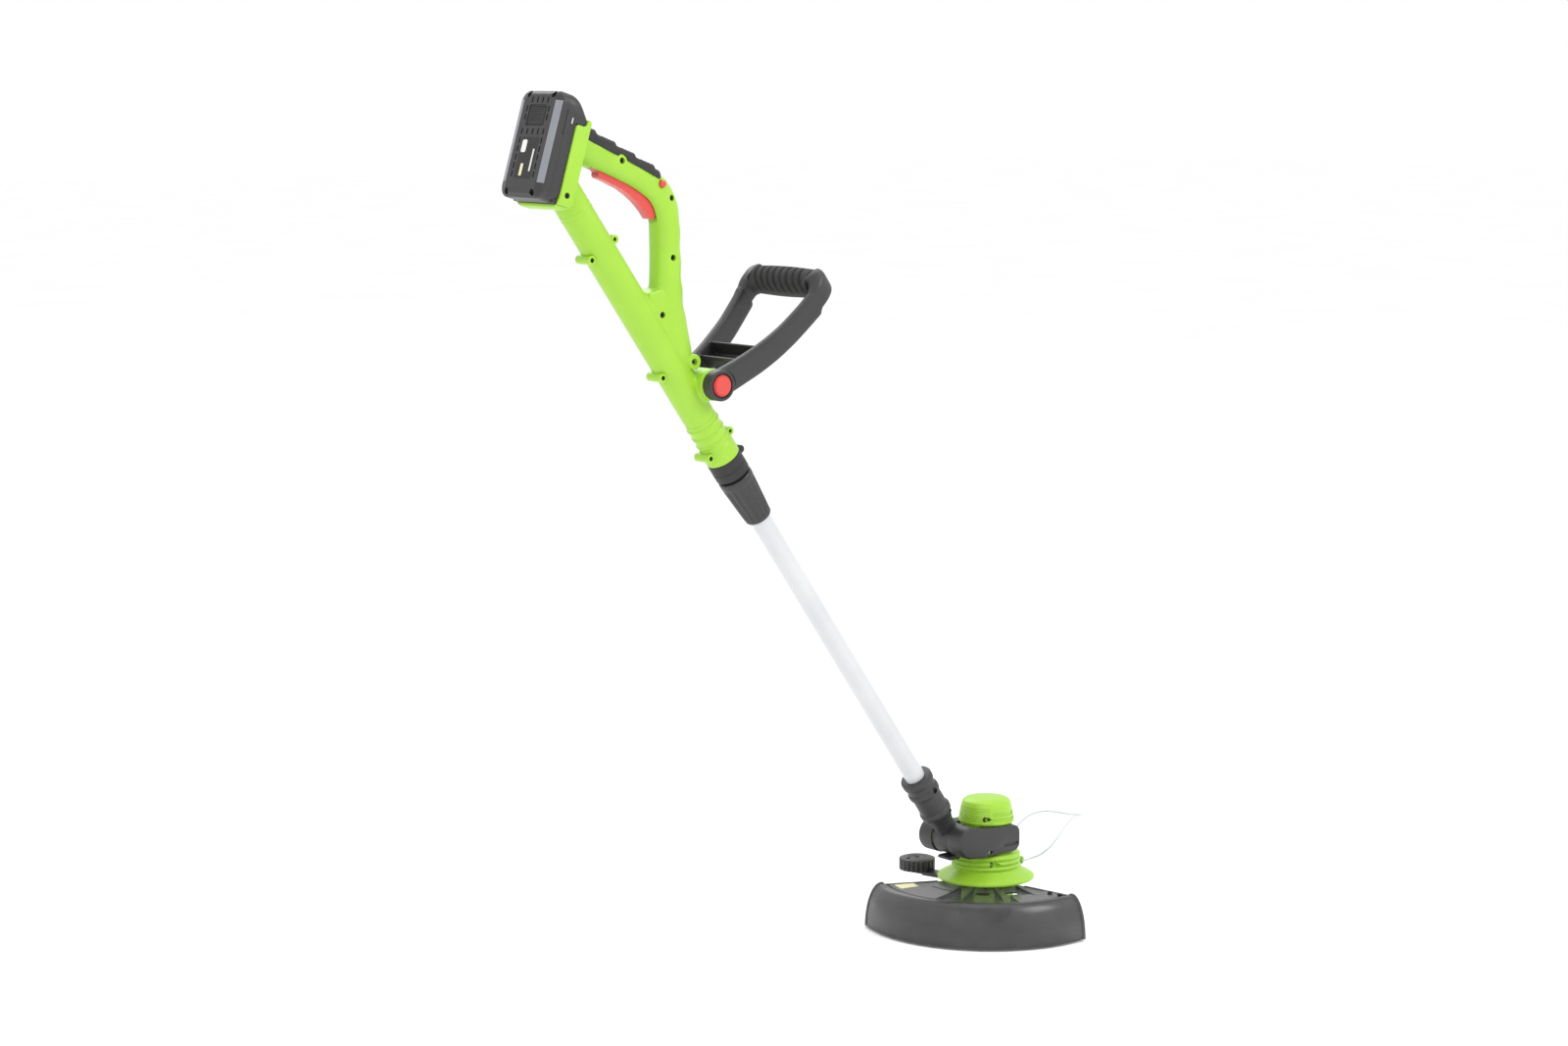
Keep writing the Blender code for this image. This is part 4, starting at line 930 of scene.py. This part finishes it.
def make_side_covers():
    """Dark covers round the head's waist, each with a skirt hiding the tilt lug."""
    for suffix, side in (("right", -1), ("left", 1)):
        low, high = span(side, 17.3, 38.0)
        outline = racetrack(87.2, 120.9, 19.8, 21.0)
        cover = mesh_object(f"motor_cover_{suffix}", [prism(outline, low, high)])
        bevelled(cover, 2.6, 5, 50)
        wrap = mesh_object("wrap", [turned(disc(42.5, 60.0, 150.0), 128)])
        add(wrap, [block((-90.0, -60.0, 60.0), (-6.0, 60.0, 150.0))])
        combine(cover, "INTERSECT", [wrap])
        skirt = arc(TILT.x, TILT.z, 19.8, 80, 280, 24) + arc(TILT.x, TILT.z, 18.4, 280, 80, 24)
        add(cover, [prism(skirt, *span(side, 14.8, 20.5))])
        slot = prism(round_box(-6.0, 17.0, 96.6, 100.2, 1.7, 5), *span(side, 36.4, 45.0))
        cut(cover, [turned(disc(WAIST_R + 0.4, 60.0, 150.0), 128), slot,
                    teardrop(-28.0, 92.6, 2.3, 5.5, *span(side, 33.0, 45.0)),
                    rod(4.4, *span(side, 14.0, 36.8), TILT.x, TILT.z)])
        bevelled(cover, 0.4, 2, 50)
        dress(cover, "charcoal", "head", [f"side_cover_{suffix}"], 40)
        rivet = rod(2.1, *span(side, 33.0, 36.0), -28.0, 92.6, 24)
        plug = mesh_object(f"cover_rivet_{suffix}", [rivet])
        dress(plug, "green", "head")


def make_tilt_release():
    outline = [(-68.0, 84.5), (-66.0, 83.5), (-52.0, 83.5), (-50.0, 85.0),
               (-50.0, 88.0), (-65.0, 88.0), (-68.0, 86.8)]
    lever = mesh_object("tilt_lever", [prism(outline, -10.0, 10.0)])
    ribs = [block((-66.0 + 3.0 * i, -8.0, 82.0), (-64.8 + 3.0 * i, 8.0, 84.1)) for i in range(4)]
    cut(lever, ribs)
    bevelled(lever, 0.35, 2, 50)
    dress(lever, "charcoal", "tilt_release", ["tilt_release"])


def make_spool_cup():
    """Green line cup with upright ribs, and its metal-lined outlet."""
    cup = [(1.8, 46.0), (1.8, 30.0), (6.0, 30.0), (6.0, 21.5), (7.6, 21.5), (7.6, 37.0), (30.5, 36.0),
           (30.5, 15.5), (32.2, 15.5), (32.7, 16.2), (32.7, 20.0), (31.9, 20.8), (31.9, 33.0),
           (32.6, 34.0), (32.6, 36.4), (31.0, 39.0), (28.0, 42.6), (26.0, 43.6), (10.0, 46.0)]
    form = mesh_object("line_cup", [turned(cup, 96)])
    for index in range(24):
        rib = block((31.5, -0.7, 20.6), (32.7, 0.7, 33.2))
        add(form, [turn(rib, index * 15.0 + 7.5, "Z")])
    outlet = Matrix.Translation((0, 0, LINE_Z))
    cut(form, [turn(turned(disc(1.2, 26.0, 40.0), 24, "X"), LINE_AZIMUTH, "Z")], outlet)
    dress(form, "green", "spool", ["spool_housing"])
    lining = [(1.25, 30.8), (3.2, 31.6), (3.2, 33.2), (2.6, 33.6), (1.25, 33.2)]
    ring = mesh_object("line_eyelet", [turn(turned(lining, 32, "X"), LINE_AZIMUTH, "Z")], outlet)
    dress(ring, "steel", "spool")


def make_bump_cap():
    cap = [(0.0, 0.0), (19.0, 0.0), (21.5, 0.4), (27.0, 2.5), (29.5, 5.0), (31.3, 8.6), (31.5, 9.4),
           (31.5, 11.0), (28.5, 11.0), (24.5, 5.0), (0.0, 3.2)]
    form = mesh_object("bump_knob", [turned(cap, 96)])
    grips = [turn(moved(turn(rod(1.6, -4.0, 14.0), 90, "X"), x=32.2), 30.0 * index, "Z")
             for index in range(12)]
    cut(form, grips + [turned([(12.0, -1.0), (13.4, -1.0), (13.4, 0.7), (12.0, 0.7)], 64)])
    bevelled(form, 0.3, 2, 50)
    dress(form, "charcoal", "spool_cap", ["spool_cap"])


def make_springs():
    for node, place, radius, wire, low, high, turns, body in (
            ("spool_spring", WORLD, 5.4, 0.6, 3.6, 21.0, 7, "spool"),
            ("trigger_spring", GRIP @ Matrix.Translation((-10.0, 0.0, 0.0)), 3.6, 0.45, -8.8, -2.8, 5,
             "handle"),
            ("aux_spring", AUX @ Matrix.Rotation(math.pi / 2, 4, "X"), 4.6, 0.55, -8.0, 8.0, 7,
             "handle")):
        coil = mesh_object(f"{node}_coil", [helix(radius, wire, low, high, turns)], place)
        dress(coil, "steel", body, [node])
        if node == "spool_spring":
            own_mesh(coil)
        if node == "trigger_spring":
            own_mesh(coil)


# ---------------------------------------------------------------- guard, wheel and wire

GUARD_R, GUARD_TOP_R, GUARD_Z = 149.0, 130.0, 50.0
GUARD_CREST, GUARD_LOW = 52.5, 2.0
GUARD_START, GUARD_END = 155.0, 279.0


def guard_section(thick, inner=36.0, lift=0.0):
    """Loop of the guard's section: flat plate, raised crest, round shoulder and steep wall."""
    width, height = GUARD_R - GUARD_TOP_R, GUARD_CREST - GUARD_LOW
    curve = [math.radians(90.0 * i / 18) for i in range(19)]
    outer = [(GUARD_TOP_R + (width + lift) * math.sin(a), GUARD_LOW + (height + lift) * math.cos(a))
             for a in curve]
    inside = [(GUARD_TOP_R + (width - thick) * math.sin(a), GUARD_LOW + (height - thick) * math.cos(a))
              for a in curve]
    plate = [(inner, GUARD_Z + lift), (125.2, GUARD_Z + lift), (126.6, GUARD_Z + 0.5 + lift),
             (127.6, GUARD_CREST - 0.5 + lift), (128.6, GUARD_CREST + lift)]
    under = [(128.0, GUARD_CREST - thick), (126.0, GUARD_Z - thick), (inner, GUARD_Z - thick)]
    return plate + outer + inside[::-1] + under


def radial(shape, azimuth):
    return turn(shape, azimuth, "Z")


def make_guard():
    shell = turned(guard_section(2.2), 124, start=GUARD_START, end=GUARD_END)
    guard = mesh_object("guard_shell", [shell])
    for start, end in ((GUARD_START, GUARD_START + 1.6), (GUARD_END - 1.6, GUARD_END)):
        rim = turned(guard_section(3.6, 60.0, 1.0), 2, start=start, end=end)
        add(guard, [rim])
    lip = turned([(146.8, GUARD_LOW), (149.6, GUARD_LOW), (149.9, 3.0), (149.4, 4.6), (147.0, 5.0)], 124,
                 start=GUARD_START, end=GUARD_END)
    add(guard, [lip])
    for azimuth, low, high in ((201.0, 66.0, 122.0), (214.0, 62.0, 108.0),
                               (238.0, 62.0, 108.0), (263.0, 62.0, 112.0)):
        fin = prism([(low, 49.0), (high, 49.0), (high - 4.0, 50.8), (low, 54.5)], -1.1, 1.1)
        add(guard, [radial(fin, azimuth)])
    for start, end, inner in ((158.0, 199.0, 88.0), (246.0, 276.0, 92.0)):
        outline = [(inner, 49.0), (124.0, 49.0), (123.0, 51.2), (inner + 1.0, 51.2)]
        plate = turned(outline, 24, start=start, end=end)
        add(guard, [plate])
    slots = [radial(upright(round_box(72.0, 84.0, -8.0, 8.0, 2.5, 4), 30.0, 70.0), azimuth)
             for azimuth in (225.0, 251.0)]
    slots += [radial(upright(round_box(74.0, 77.5, -9.0, 9.0, 1.7, 4), 30.0, 70.0), azimuth)
              for azimuth in (178.0, 192.0)]
    cut(guard, slots)
    bevelled(guard, 0.45, 2, 40)
    dress(guard, "smoke", "head", ["guard"])
    make_guard_trim()


def make_guard_trim():
    """Blank label and the two blade screws."""
    patch = [(93.0, 51.0), (117.0, 51.0), (117.0, 51.45), (93.0, 51.45)]
    label = mesh_object("guard_label", [turned(patch, 12, start=160.0, end=169.5)])
    dress(label, "yellow", "head")
    for index, (radius, azimuth) in enumerate(((105.0, 273.5), (120.0, 274.0))):
        angle = math.radians(azimuth)
        place = Matrix.Translation((radius * math.cos(angle), radius * math.sin(angle), 52.0))
        dome = [(0.0, -1.0), (3.0, -1.0), (3.0, 0.6), (2.2, 1.4), (0.0, 1.6)]
        head = mesh_object(f"blade_screw_{index + 1}", [turned(dome, 32)], place)
        cut(head, [block((-0.45, -1.9, 0.8), (0.45, 1.9, 3.0))], place)
        dress(head, "dark_steel", "head")


def make_edge_wheel():
    """Guide wheel with a deep gripping rim, a domed hub and a small window."""
    x, y = JOINTS["edge_wheel_spin"]["pos_m"][0] / MM, JOINTS["edge_wheel_spin"]["pos_m"][1] / MM
    place = Matrix.Translation((x, y, 0.0))
    flutes = 22
    rim = []
    for i in range(flutes * 6):
        angle = 2 * math.pi * i / (flutes * 6)
        radius = 21.9 - 1.5 * (0.5 - 0.5 * math.cos(flutes * angle)) ** 2
        rim.append((radius * math.cos(angle), radius * math.sin(angle)))
    wheel = mesh_object("guide_wheel", [upright(rim, 47.4, 61.0)], place)
    crown = [(0.0, 60.0), (20.0, 60.0), (20.0, 61.0), (18.5, 62.0), (9.0, 62.6), (7.6, 61.8),
             (0.0, 61.8)]
    add(wheel, [turned(crown, 72)], place)
    cut(wheel, [turned(disc(3.3, 40.0, 70.0), 32), block((-17.0, -2.2, 60.6), (-12.0, 2.2, 66.0)),
                turned([(9.8, 61.6), (10.6, 61.6), (10.6, 66.0), (9.8, 66.0)], 64)], place)
    bevelled(wheel, 0.5, 2, 40)
    dress(wheel, "charcoal", "edge_wheel", ["edge_wheel"], 40)
    axle = mesh_object("wheel_pin", [turned(disc(3.0, 43.0, 61.2, edge=0.6), 32)], place)
    dress(axle, "dark_steel", "head", ["wheel_axle"])


def make_wheel_bracket():
    low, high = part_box("wheel_bracket")
    x, y = JOINTS["edge_wheel_spin"]["pos_m"][0] / MM, JOINTS["edge_wheel_spin"]["pos_m"][1] / MM
    reach = math.hypot(x, y)
    azimuth = math.degrees(math.atan2(y, x))
    outline = [(44.0, -12.0), (80.0, -10.0)]
    outline += arc(reach, 0.0, 9.0, -80, 80, 16) + [(80.0, 10.0), (44.0, 12.0)]
    floor, top = low.z / MM, high.z / MM
    plate = mesh_object("wheel_arm", [radial(upright(outline, floor, floor + 3.0), azimuth)])
    foot = block((45.0, -10.5, floor + 1.0), (56.0, 10.5, top))
    add(plate, [radial(foot, azimuth)])
    for offset in (-7.5, 7.5):
        rib = block((54.0, offset - 1.0, floor - 1.6), (86.0, offset + 1.0, floor + 1.0))
        add(plate, [radial(rib, azimuth)])
    cut(plate, [moved(turned(disc(3.3, 30.0, 60.0), 32), x, y)])
    bevelled(plate, 0.4, 2, 40)
    dress(plate, "charcoal", "head", ["wheel_bracket"])


WIRE_ROUTE = [(44.0, 10.0, 68.0), (44.0, 14.0, 68.0), (45.2, 16.8, 68.0), (49.5, 18.2, 68.3),
              (57.0, 20.2, 70.0), (64.0, 25.5, 73.5), (70.0, 31.5, 79.5),
              (77.0, 35.0, 87.0), (85.0, 36.0, 95.0), (95.0, 34.5, 102.5), (106.0, 31.0, 108.0),
              (120.0, 24.0, 110.5), (134.0, 13.5, 108.5), (146.0, 5.5, 106.0), (156.0, 1.2, 105.0)]


def make_plant_guard():
    """Coated spring wire, swept round between the two eyes of the head."""
    right = [(x, -y, z) for x, y, z in WIRE_ROUTE]
    left = [(x, y, z) for x, y, z in reversed(WIRE_ROUTE)]
    path = smooth_path(right + left, 8)
    radius, sides, up = 1.2, 14, Vector((0.0, 0.0, 1.0))
    rings = []
    for i, point in enumerate(path):
        ahead = (path[min(i + 1, len(path) - 1)] - path[max(i - 1, 0)]).normalized()
        side = ahead.cross(up).normalized()
        lift = side.cross(ahead).normalized()
        angles = [2 * math.pi * k / sides for k in range(sides)]
        rings.append([point + radius * (side * math.cos(a) + lift * math.sin(a)) for a in angles])
    wire = mesh_object("plant_wire", [skin(rings)])
    dress(wire, "wire", "plant_guard", ["plant_guard"])


# ---------------------------------------------------------------- battery

PACK_Y, PACK_B, PACK_ROUND = 38.0, 57.5, 12.0
SCREW_SPOTS = ((-22.0, 52.6), (22.0, 52.6), (-23.0, -51.8), (23.0, -51.8))


def pack_ring(inset_y, inset_b, radius):
    return round_box(-PACK_Y + inset_y, PACK_Y - inset_y, -PACK_B + inset_b, PACK_B - inset_b, radius, 8)


def pack_cavity(low, high):
    return loft([(f, pack_ring(2.8, 3.2, 9.2)) for f in (low, high)])


def slit(y, b):
    """A vent slot through the lid, 2.1 mm wide and 6.8 mm long."""
    across, along = 1.05, 3.4
    outline = round_box(y - across, y + across, b - along, b + along, across - 0.05, 3)
    return loft([(-2.0, outline), (2.2, outline)])


def make_battery_lid():
    """Rear shell of the pack: shallow side chamfers, sloped ends, vent slits and a latch recess."""
    lid = mesh_object("pack_lid", [loft([
        (0.0, pack_ring(11.0, 5.4, 7.0)), (0.5, pack_ring(9.8, 4.2, 8.0)),
        (3.0, pack_ring(1.4, 1.5, 11.0)), (3.9, pack_ring(0.35, 0.5, 11.8)),
        (5.2, pack_ring(0.0, 0.0, PACK_ROUND)), (12.0, pack_ring(0.0, 0.0, PACK_ROUND))])], DOCK)
    slits = [(-15.0 + 9.4 * i, 46.6) for i in range(4)] + [(-19.4 + 9.7 * i, 12.6) for i in range(5)]
    slits += [(y, b) for y in (-19.6, 19.6) for b in (37.0, 28.0, 3.0, -6.0, -15.0, -24.0, -33.0)]
    frame_cut = loft([(-2.0, round_box(-16.4, 16.4, 17.8, 42.0, 2.4)),
                      (1.0, round_box(-15.6, 15.6, 18.6, 41.4, 2.0))])
    opening = round_box(-14.3, 14.3, 19.7, 40.3, 2.0)
    window = loft([(0.5, opening), (6.0, opening)])
    wells = [moved(turned(disc(3.5, -3.0, 6.4), 24, "X"), y=y, z=b) for y, b in SCREW_SPOTS]
    notches = [block((-2.0, y - 3.2, 56.2), (9.0, y + 3.2, 60.0)) for y in (-22.0, 22.0)]
    sides = []
    for side in (-1, 1):
        low, high = span(side, 37.2, 41.0)
        hollow = [(6.4, 16.0), (11.0, 13.0), (13.0, 13.0), (13.0, 40.0), (11.0, 40.0), (6.4, 36.0)]
        sides.append(prism(hollow, low, high))
    cut(lid, [slit(y, b) for y, b in slits] + [frame_cut, window] + wells + notches + sides
        + [pack_cavity(5.9, 14.0)], DOCK)
    bevelled(lid, 0.3, 2, 45)
    dress(lid, "charcoal", "battery", ["battery_lid"], 13)
    floor = loft([(f, pack_ring(3.2, 3.6, 8.8)) for f in (5.6, 6.2)])
    back = mesh_object("pack_lid_floor", [floor], DOCK)
    dress(back, "black", "battery")


def make_battery_trim():
    """Painted reflection in grey over both side chamfers, standing in for the bright surroundings they reflect;
    blank patches, side marks and the pack's screws.
    """
    for suffix, side in (("right", -1), ("left", 1)):
        # painted reflection: a grey wedge over each side chamfer stands in for the bright surroundings mirrored
        # there
        outline = [(0.45, 28.1), (0.95, 29.2), (2.95, 36.4), (3.6, 37.1), (4.6, 37.1), (4.6, 28.1)]
        reflection_band = mesh_object(f"pack_chamfer_reflection_{suffix}",
                             [upright([(f - 0.25, side * y) for f, y in outline], -41.0, 47.0)], DOCK)
        dress(reflection_band, "grey", "battery")
        low, high = span(side, 37.3, 37.85)
        mark = prism(round_box(19.4, 20.4, 27.0, 33.5, 0.45), low, high)
        tick = mesh_object(f"pack_mark_{suffix}", [mark], DOCK)
        dress(tick, "white", "battery")
    for name, outline, depth, material in (
            ("pack_label", round_box(-15.0, 15.0, -38.0, 6.5, 1.5), -0.1, "black"),
            ("pack_label_white", round_box(4.5, 13.0, -10.0, 3.5, 2.2), -0.22, "white"),
            ("pack_label_pale", round_box(-11.5, -9.0, -30.0, -6.0, 0.6), -0.22, "white"),
            ("pack_label_yellow", round_box(2.5, 7.0, -35.0, -22.0, 0.6), -0.22, "yellow")):
        patch = mesh_object(name, [loft([(depth, outline), (0.3, outline)])], DOCK)
        dress(patch, material, "battery")
    for index, (y, b) in enumerate(SCREW_SPOTS):
        screw_head(f"pack_screw_{index + 1}", DOCK, 5.0, y, b, "battery", 2.5, "X")


def make_battery_base():
    """Front shell of the pack with its rails, rounded like the lid and stepped back at the nose."""
    ring = pack_ring(0.3, 0.0, PACK_ROUND)
    base = mesh_object("pack_base", [loft([(12.3, ring), (38.2, ring)])], DOCK)
    side = [(12.0, -60.0), (25.2, -60.0), (25.2, 29.0), (37.0, 29.0), (38.0, 30.0), (38.0, 34.0),
            (36.5, 36.5), (24.0, 51.5), (20.5, 55.2), (17.0, 57.6), (16.0, 60.0), (12.0, 60.0)]
    within(base, prism(side, -45.0, 45.0), DOCK)
    rails = [(20.0, -57.4), (39.5, -57.4), (39.5, 29.4), (20.0, 29.4)]
    add(base, [prism(rails, -35.0, 35.0)], DOCK)
    cut(base, [pack_cavity(5.0, 24.2), block((30.0, -13.0, -70.0), (45.0, 13.0, 11.5))], DOCK)
    bevelled(base, 0.3, 2, 45)
    dress(base, "charcoal", "battery", ["battery_base"])


def make_battery_release():
    outline = round_box(-14.0, 14.0, 20.0, 40.0, 2.0)
    plate = loft([(0.6, round_box(-13.6, 13.6, 20.4, 39.6, 1.6)), (1.2, outline), (2.8, outline)])
    button = mesh_object("pack_release", [plate], DOCK)
    grooves = [24.0 + 3.0 * i for i in range(5)]
    cut(button, [block((-1.0, -10.0, low), (1.0, 10.0, low + 1.2)) for low in grooves], DOCK)
    bevelled(button, 0.25, 2, 45)
    dress(button, "black", "battery_release", ["battery_release"])


# ---------------------------------------------------------------- carried-over CAD nodes

def paint_cad_nodes():
    """Give the plain inner nodes their materials."""
    painted = {
        "black": ["terminal_block", "trigger_switch", "clamp_collet", "tube_bush", "line_spool"],
        "steel": ["tilt_pin", "motor_can", "bearing_lower", "bearing_upper", "cutter_blade"],
        "copper": ["motor_rotor"],
        "cell": ["cell_pack"],
        "line": ["cutting_line"],
    }
    for material, names in painted.items():
        for name in names:
            node = frame["nodes"][name]
            node.data.materials.clear()
            node.data.materials.append(MATERIALS[material])


# ---------------------------------------------------------------- stage

def make_stage():
    """Wide, pale, matt floor."""
    half = 22000.0
    shape = bmesh.new()
    corners = ((-half, -half), (half, -half), (half, half), (-half, half))
    shape.faces.new([shape.verts.new((x, y, 0.0)) for x, y in corners])
    floor = mesh_object("stage_floor", [shape], Matrix.Translation((0.0, 0.0, FLOOR_Z)))
    nodes = Nodes("pale_floor")
    tone = nodes.ranged(nodes.noise(400.0, 2.0), 0.0, 1.0)
    nodes.feed("Base Color", nodes.mixed(tone, (0.955, 0.955, 0.955), (0.975, 0.975, 0.975)))
    nodes.fix("Roughness", 0.9)
    nodes.fix("Specular IOR Level", 0.1)
    nodes.fix("Emission Color", (1.0, 1.0, 1.0, 1.0))
    nodes.fix("Emission Strength", 0.03)
    floor.data.materials.append(nodes.material)


def area_light(name, place, target, size, power):
    data = bpy.data.lights.new(name, "AREA")
    data.shape = "SQUARE"
    data.size = size
    data.energy = power
    light = bpy.data.objects.new(name, data)
    bpy.context.scene.collection.objects.link(light)
    light.location = place
    light.rotation_euler = (Vector(target) - Vector(place)).to_track_quat("-Z", "Y").to_euler()


def make_lights():
    world = bpy.data.worlds.new("studio")
    bpy.context.scene.world = world
    world.use_nodes = True
    background = world.node_tree.nodes["Background"]
    background.inputs["Color"].default_value = (1.0, 1.0, 1.0, 1.0)
    background.inputs["Strength"].default_value = 1.0
    middle = (-0.3, 0.0, 0.5)
    area_light("key", (0.9, -2.4, 2.6), middle, 1.4, 40.0)
    area_light("fill", (-2.8, -1.6, 1.6), middle, 2.4, 12.0)
    area_light("rim", (0.6, 2.4, 2.4), middle, 1.6, 18.0)
    area_light("top", (-0.3, 0.0, 3.2), middle, 2.0, 16.0)
    bpy.context.scene.view_settings.view_transform = "Standard"


def make_camera():
    data = bpy.data.cameras.new("camera")
    data.sensor_width = 36.0
    data.lens = 76.5
    data.clip_end = 50.0
    camera = bpy.data.objects.new("camera", data)
    camera.location = (-2.639, -2.875, 1.027)
    camera.rotation_euler = (math.radians(90.0 - 8.0), 0.0, math.radians(-39.0))
    bpy.context.scene.collection.objects.link(camera)
    bpy.context.scene.camera = camera


# ---------------------------------------------------------------- build

for build in (make_handle_shells, make_grip_pads, make_handle_screws, make_collar, make_trigger,
              make_lock_button, make_aux_frame, make_aux_grip, make_aux_buttons, make_tube,
              make_twist_sleeve, make_neck, make_head_shells, make_side_covers, make_tilt_release,
              make_spool_cup, make_bump_cap, make_springs, make_guard, make_edge_wheel,
              make_wheel_bracket, make_plant_guard, make_battery_lid, make_battery_trim,
              make_battery_base, make_battery_release, paint_cad_nodes, make_stage, make_lights,
              make_camera):
    build()
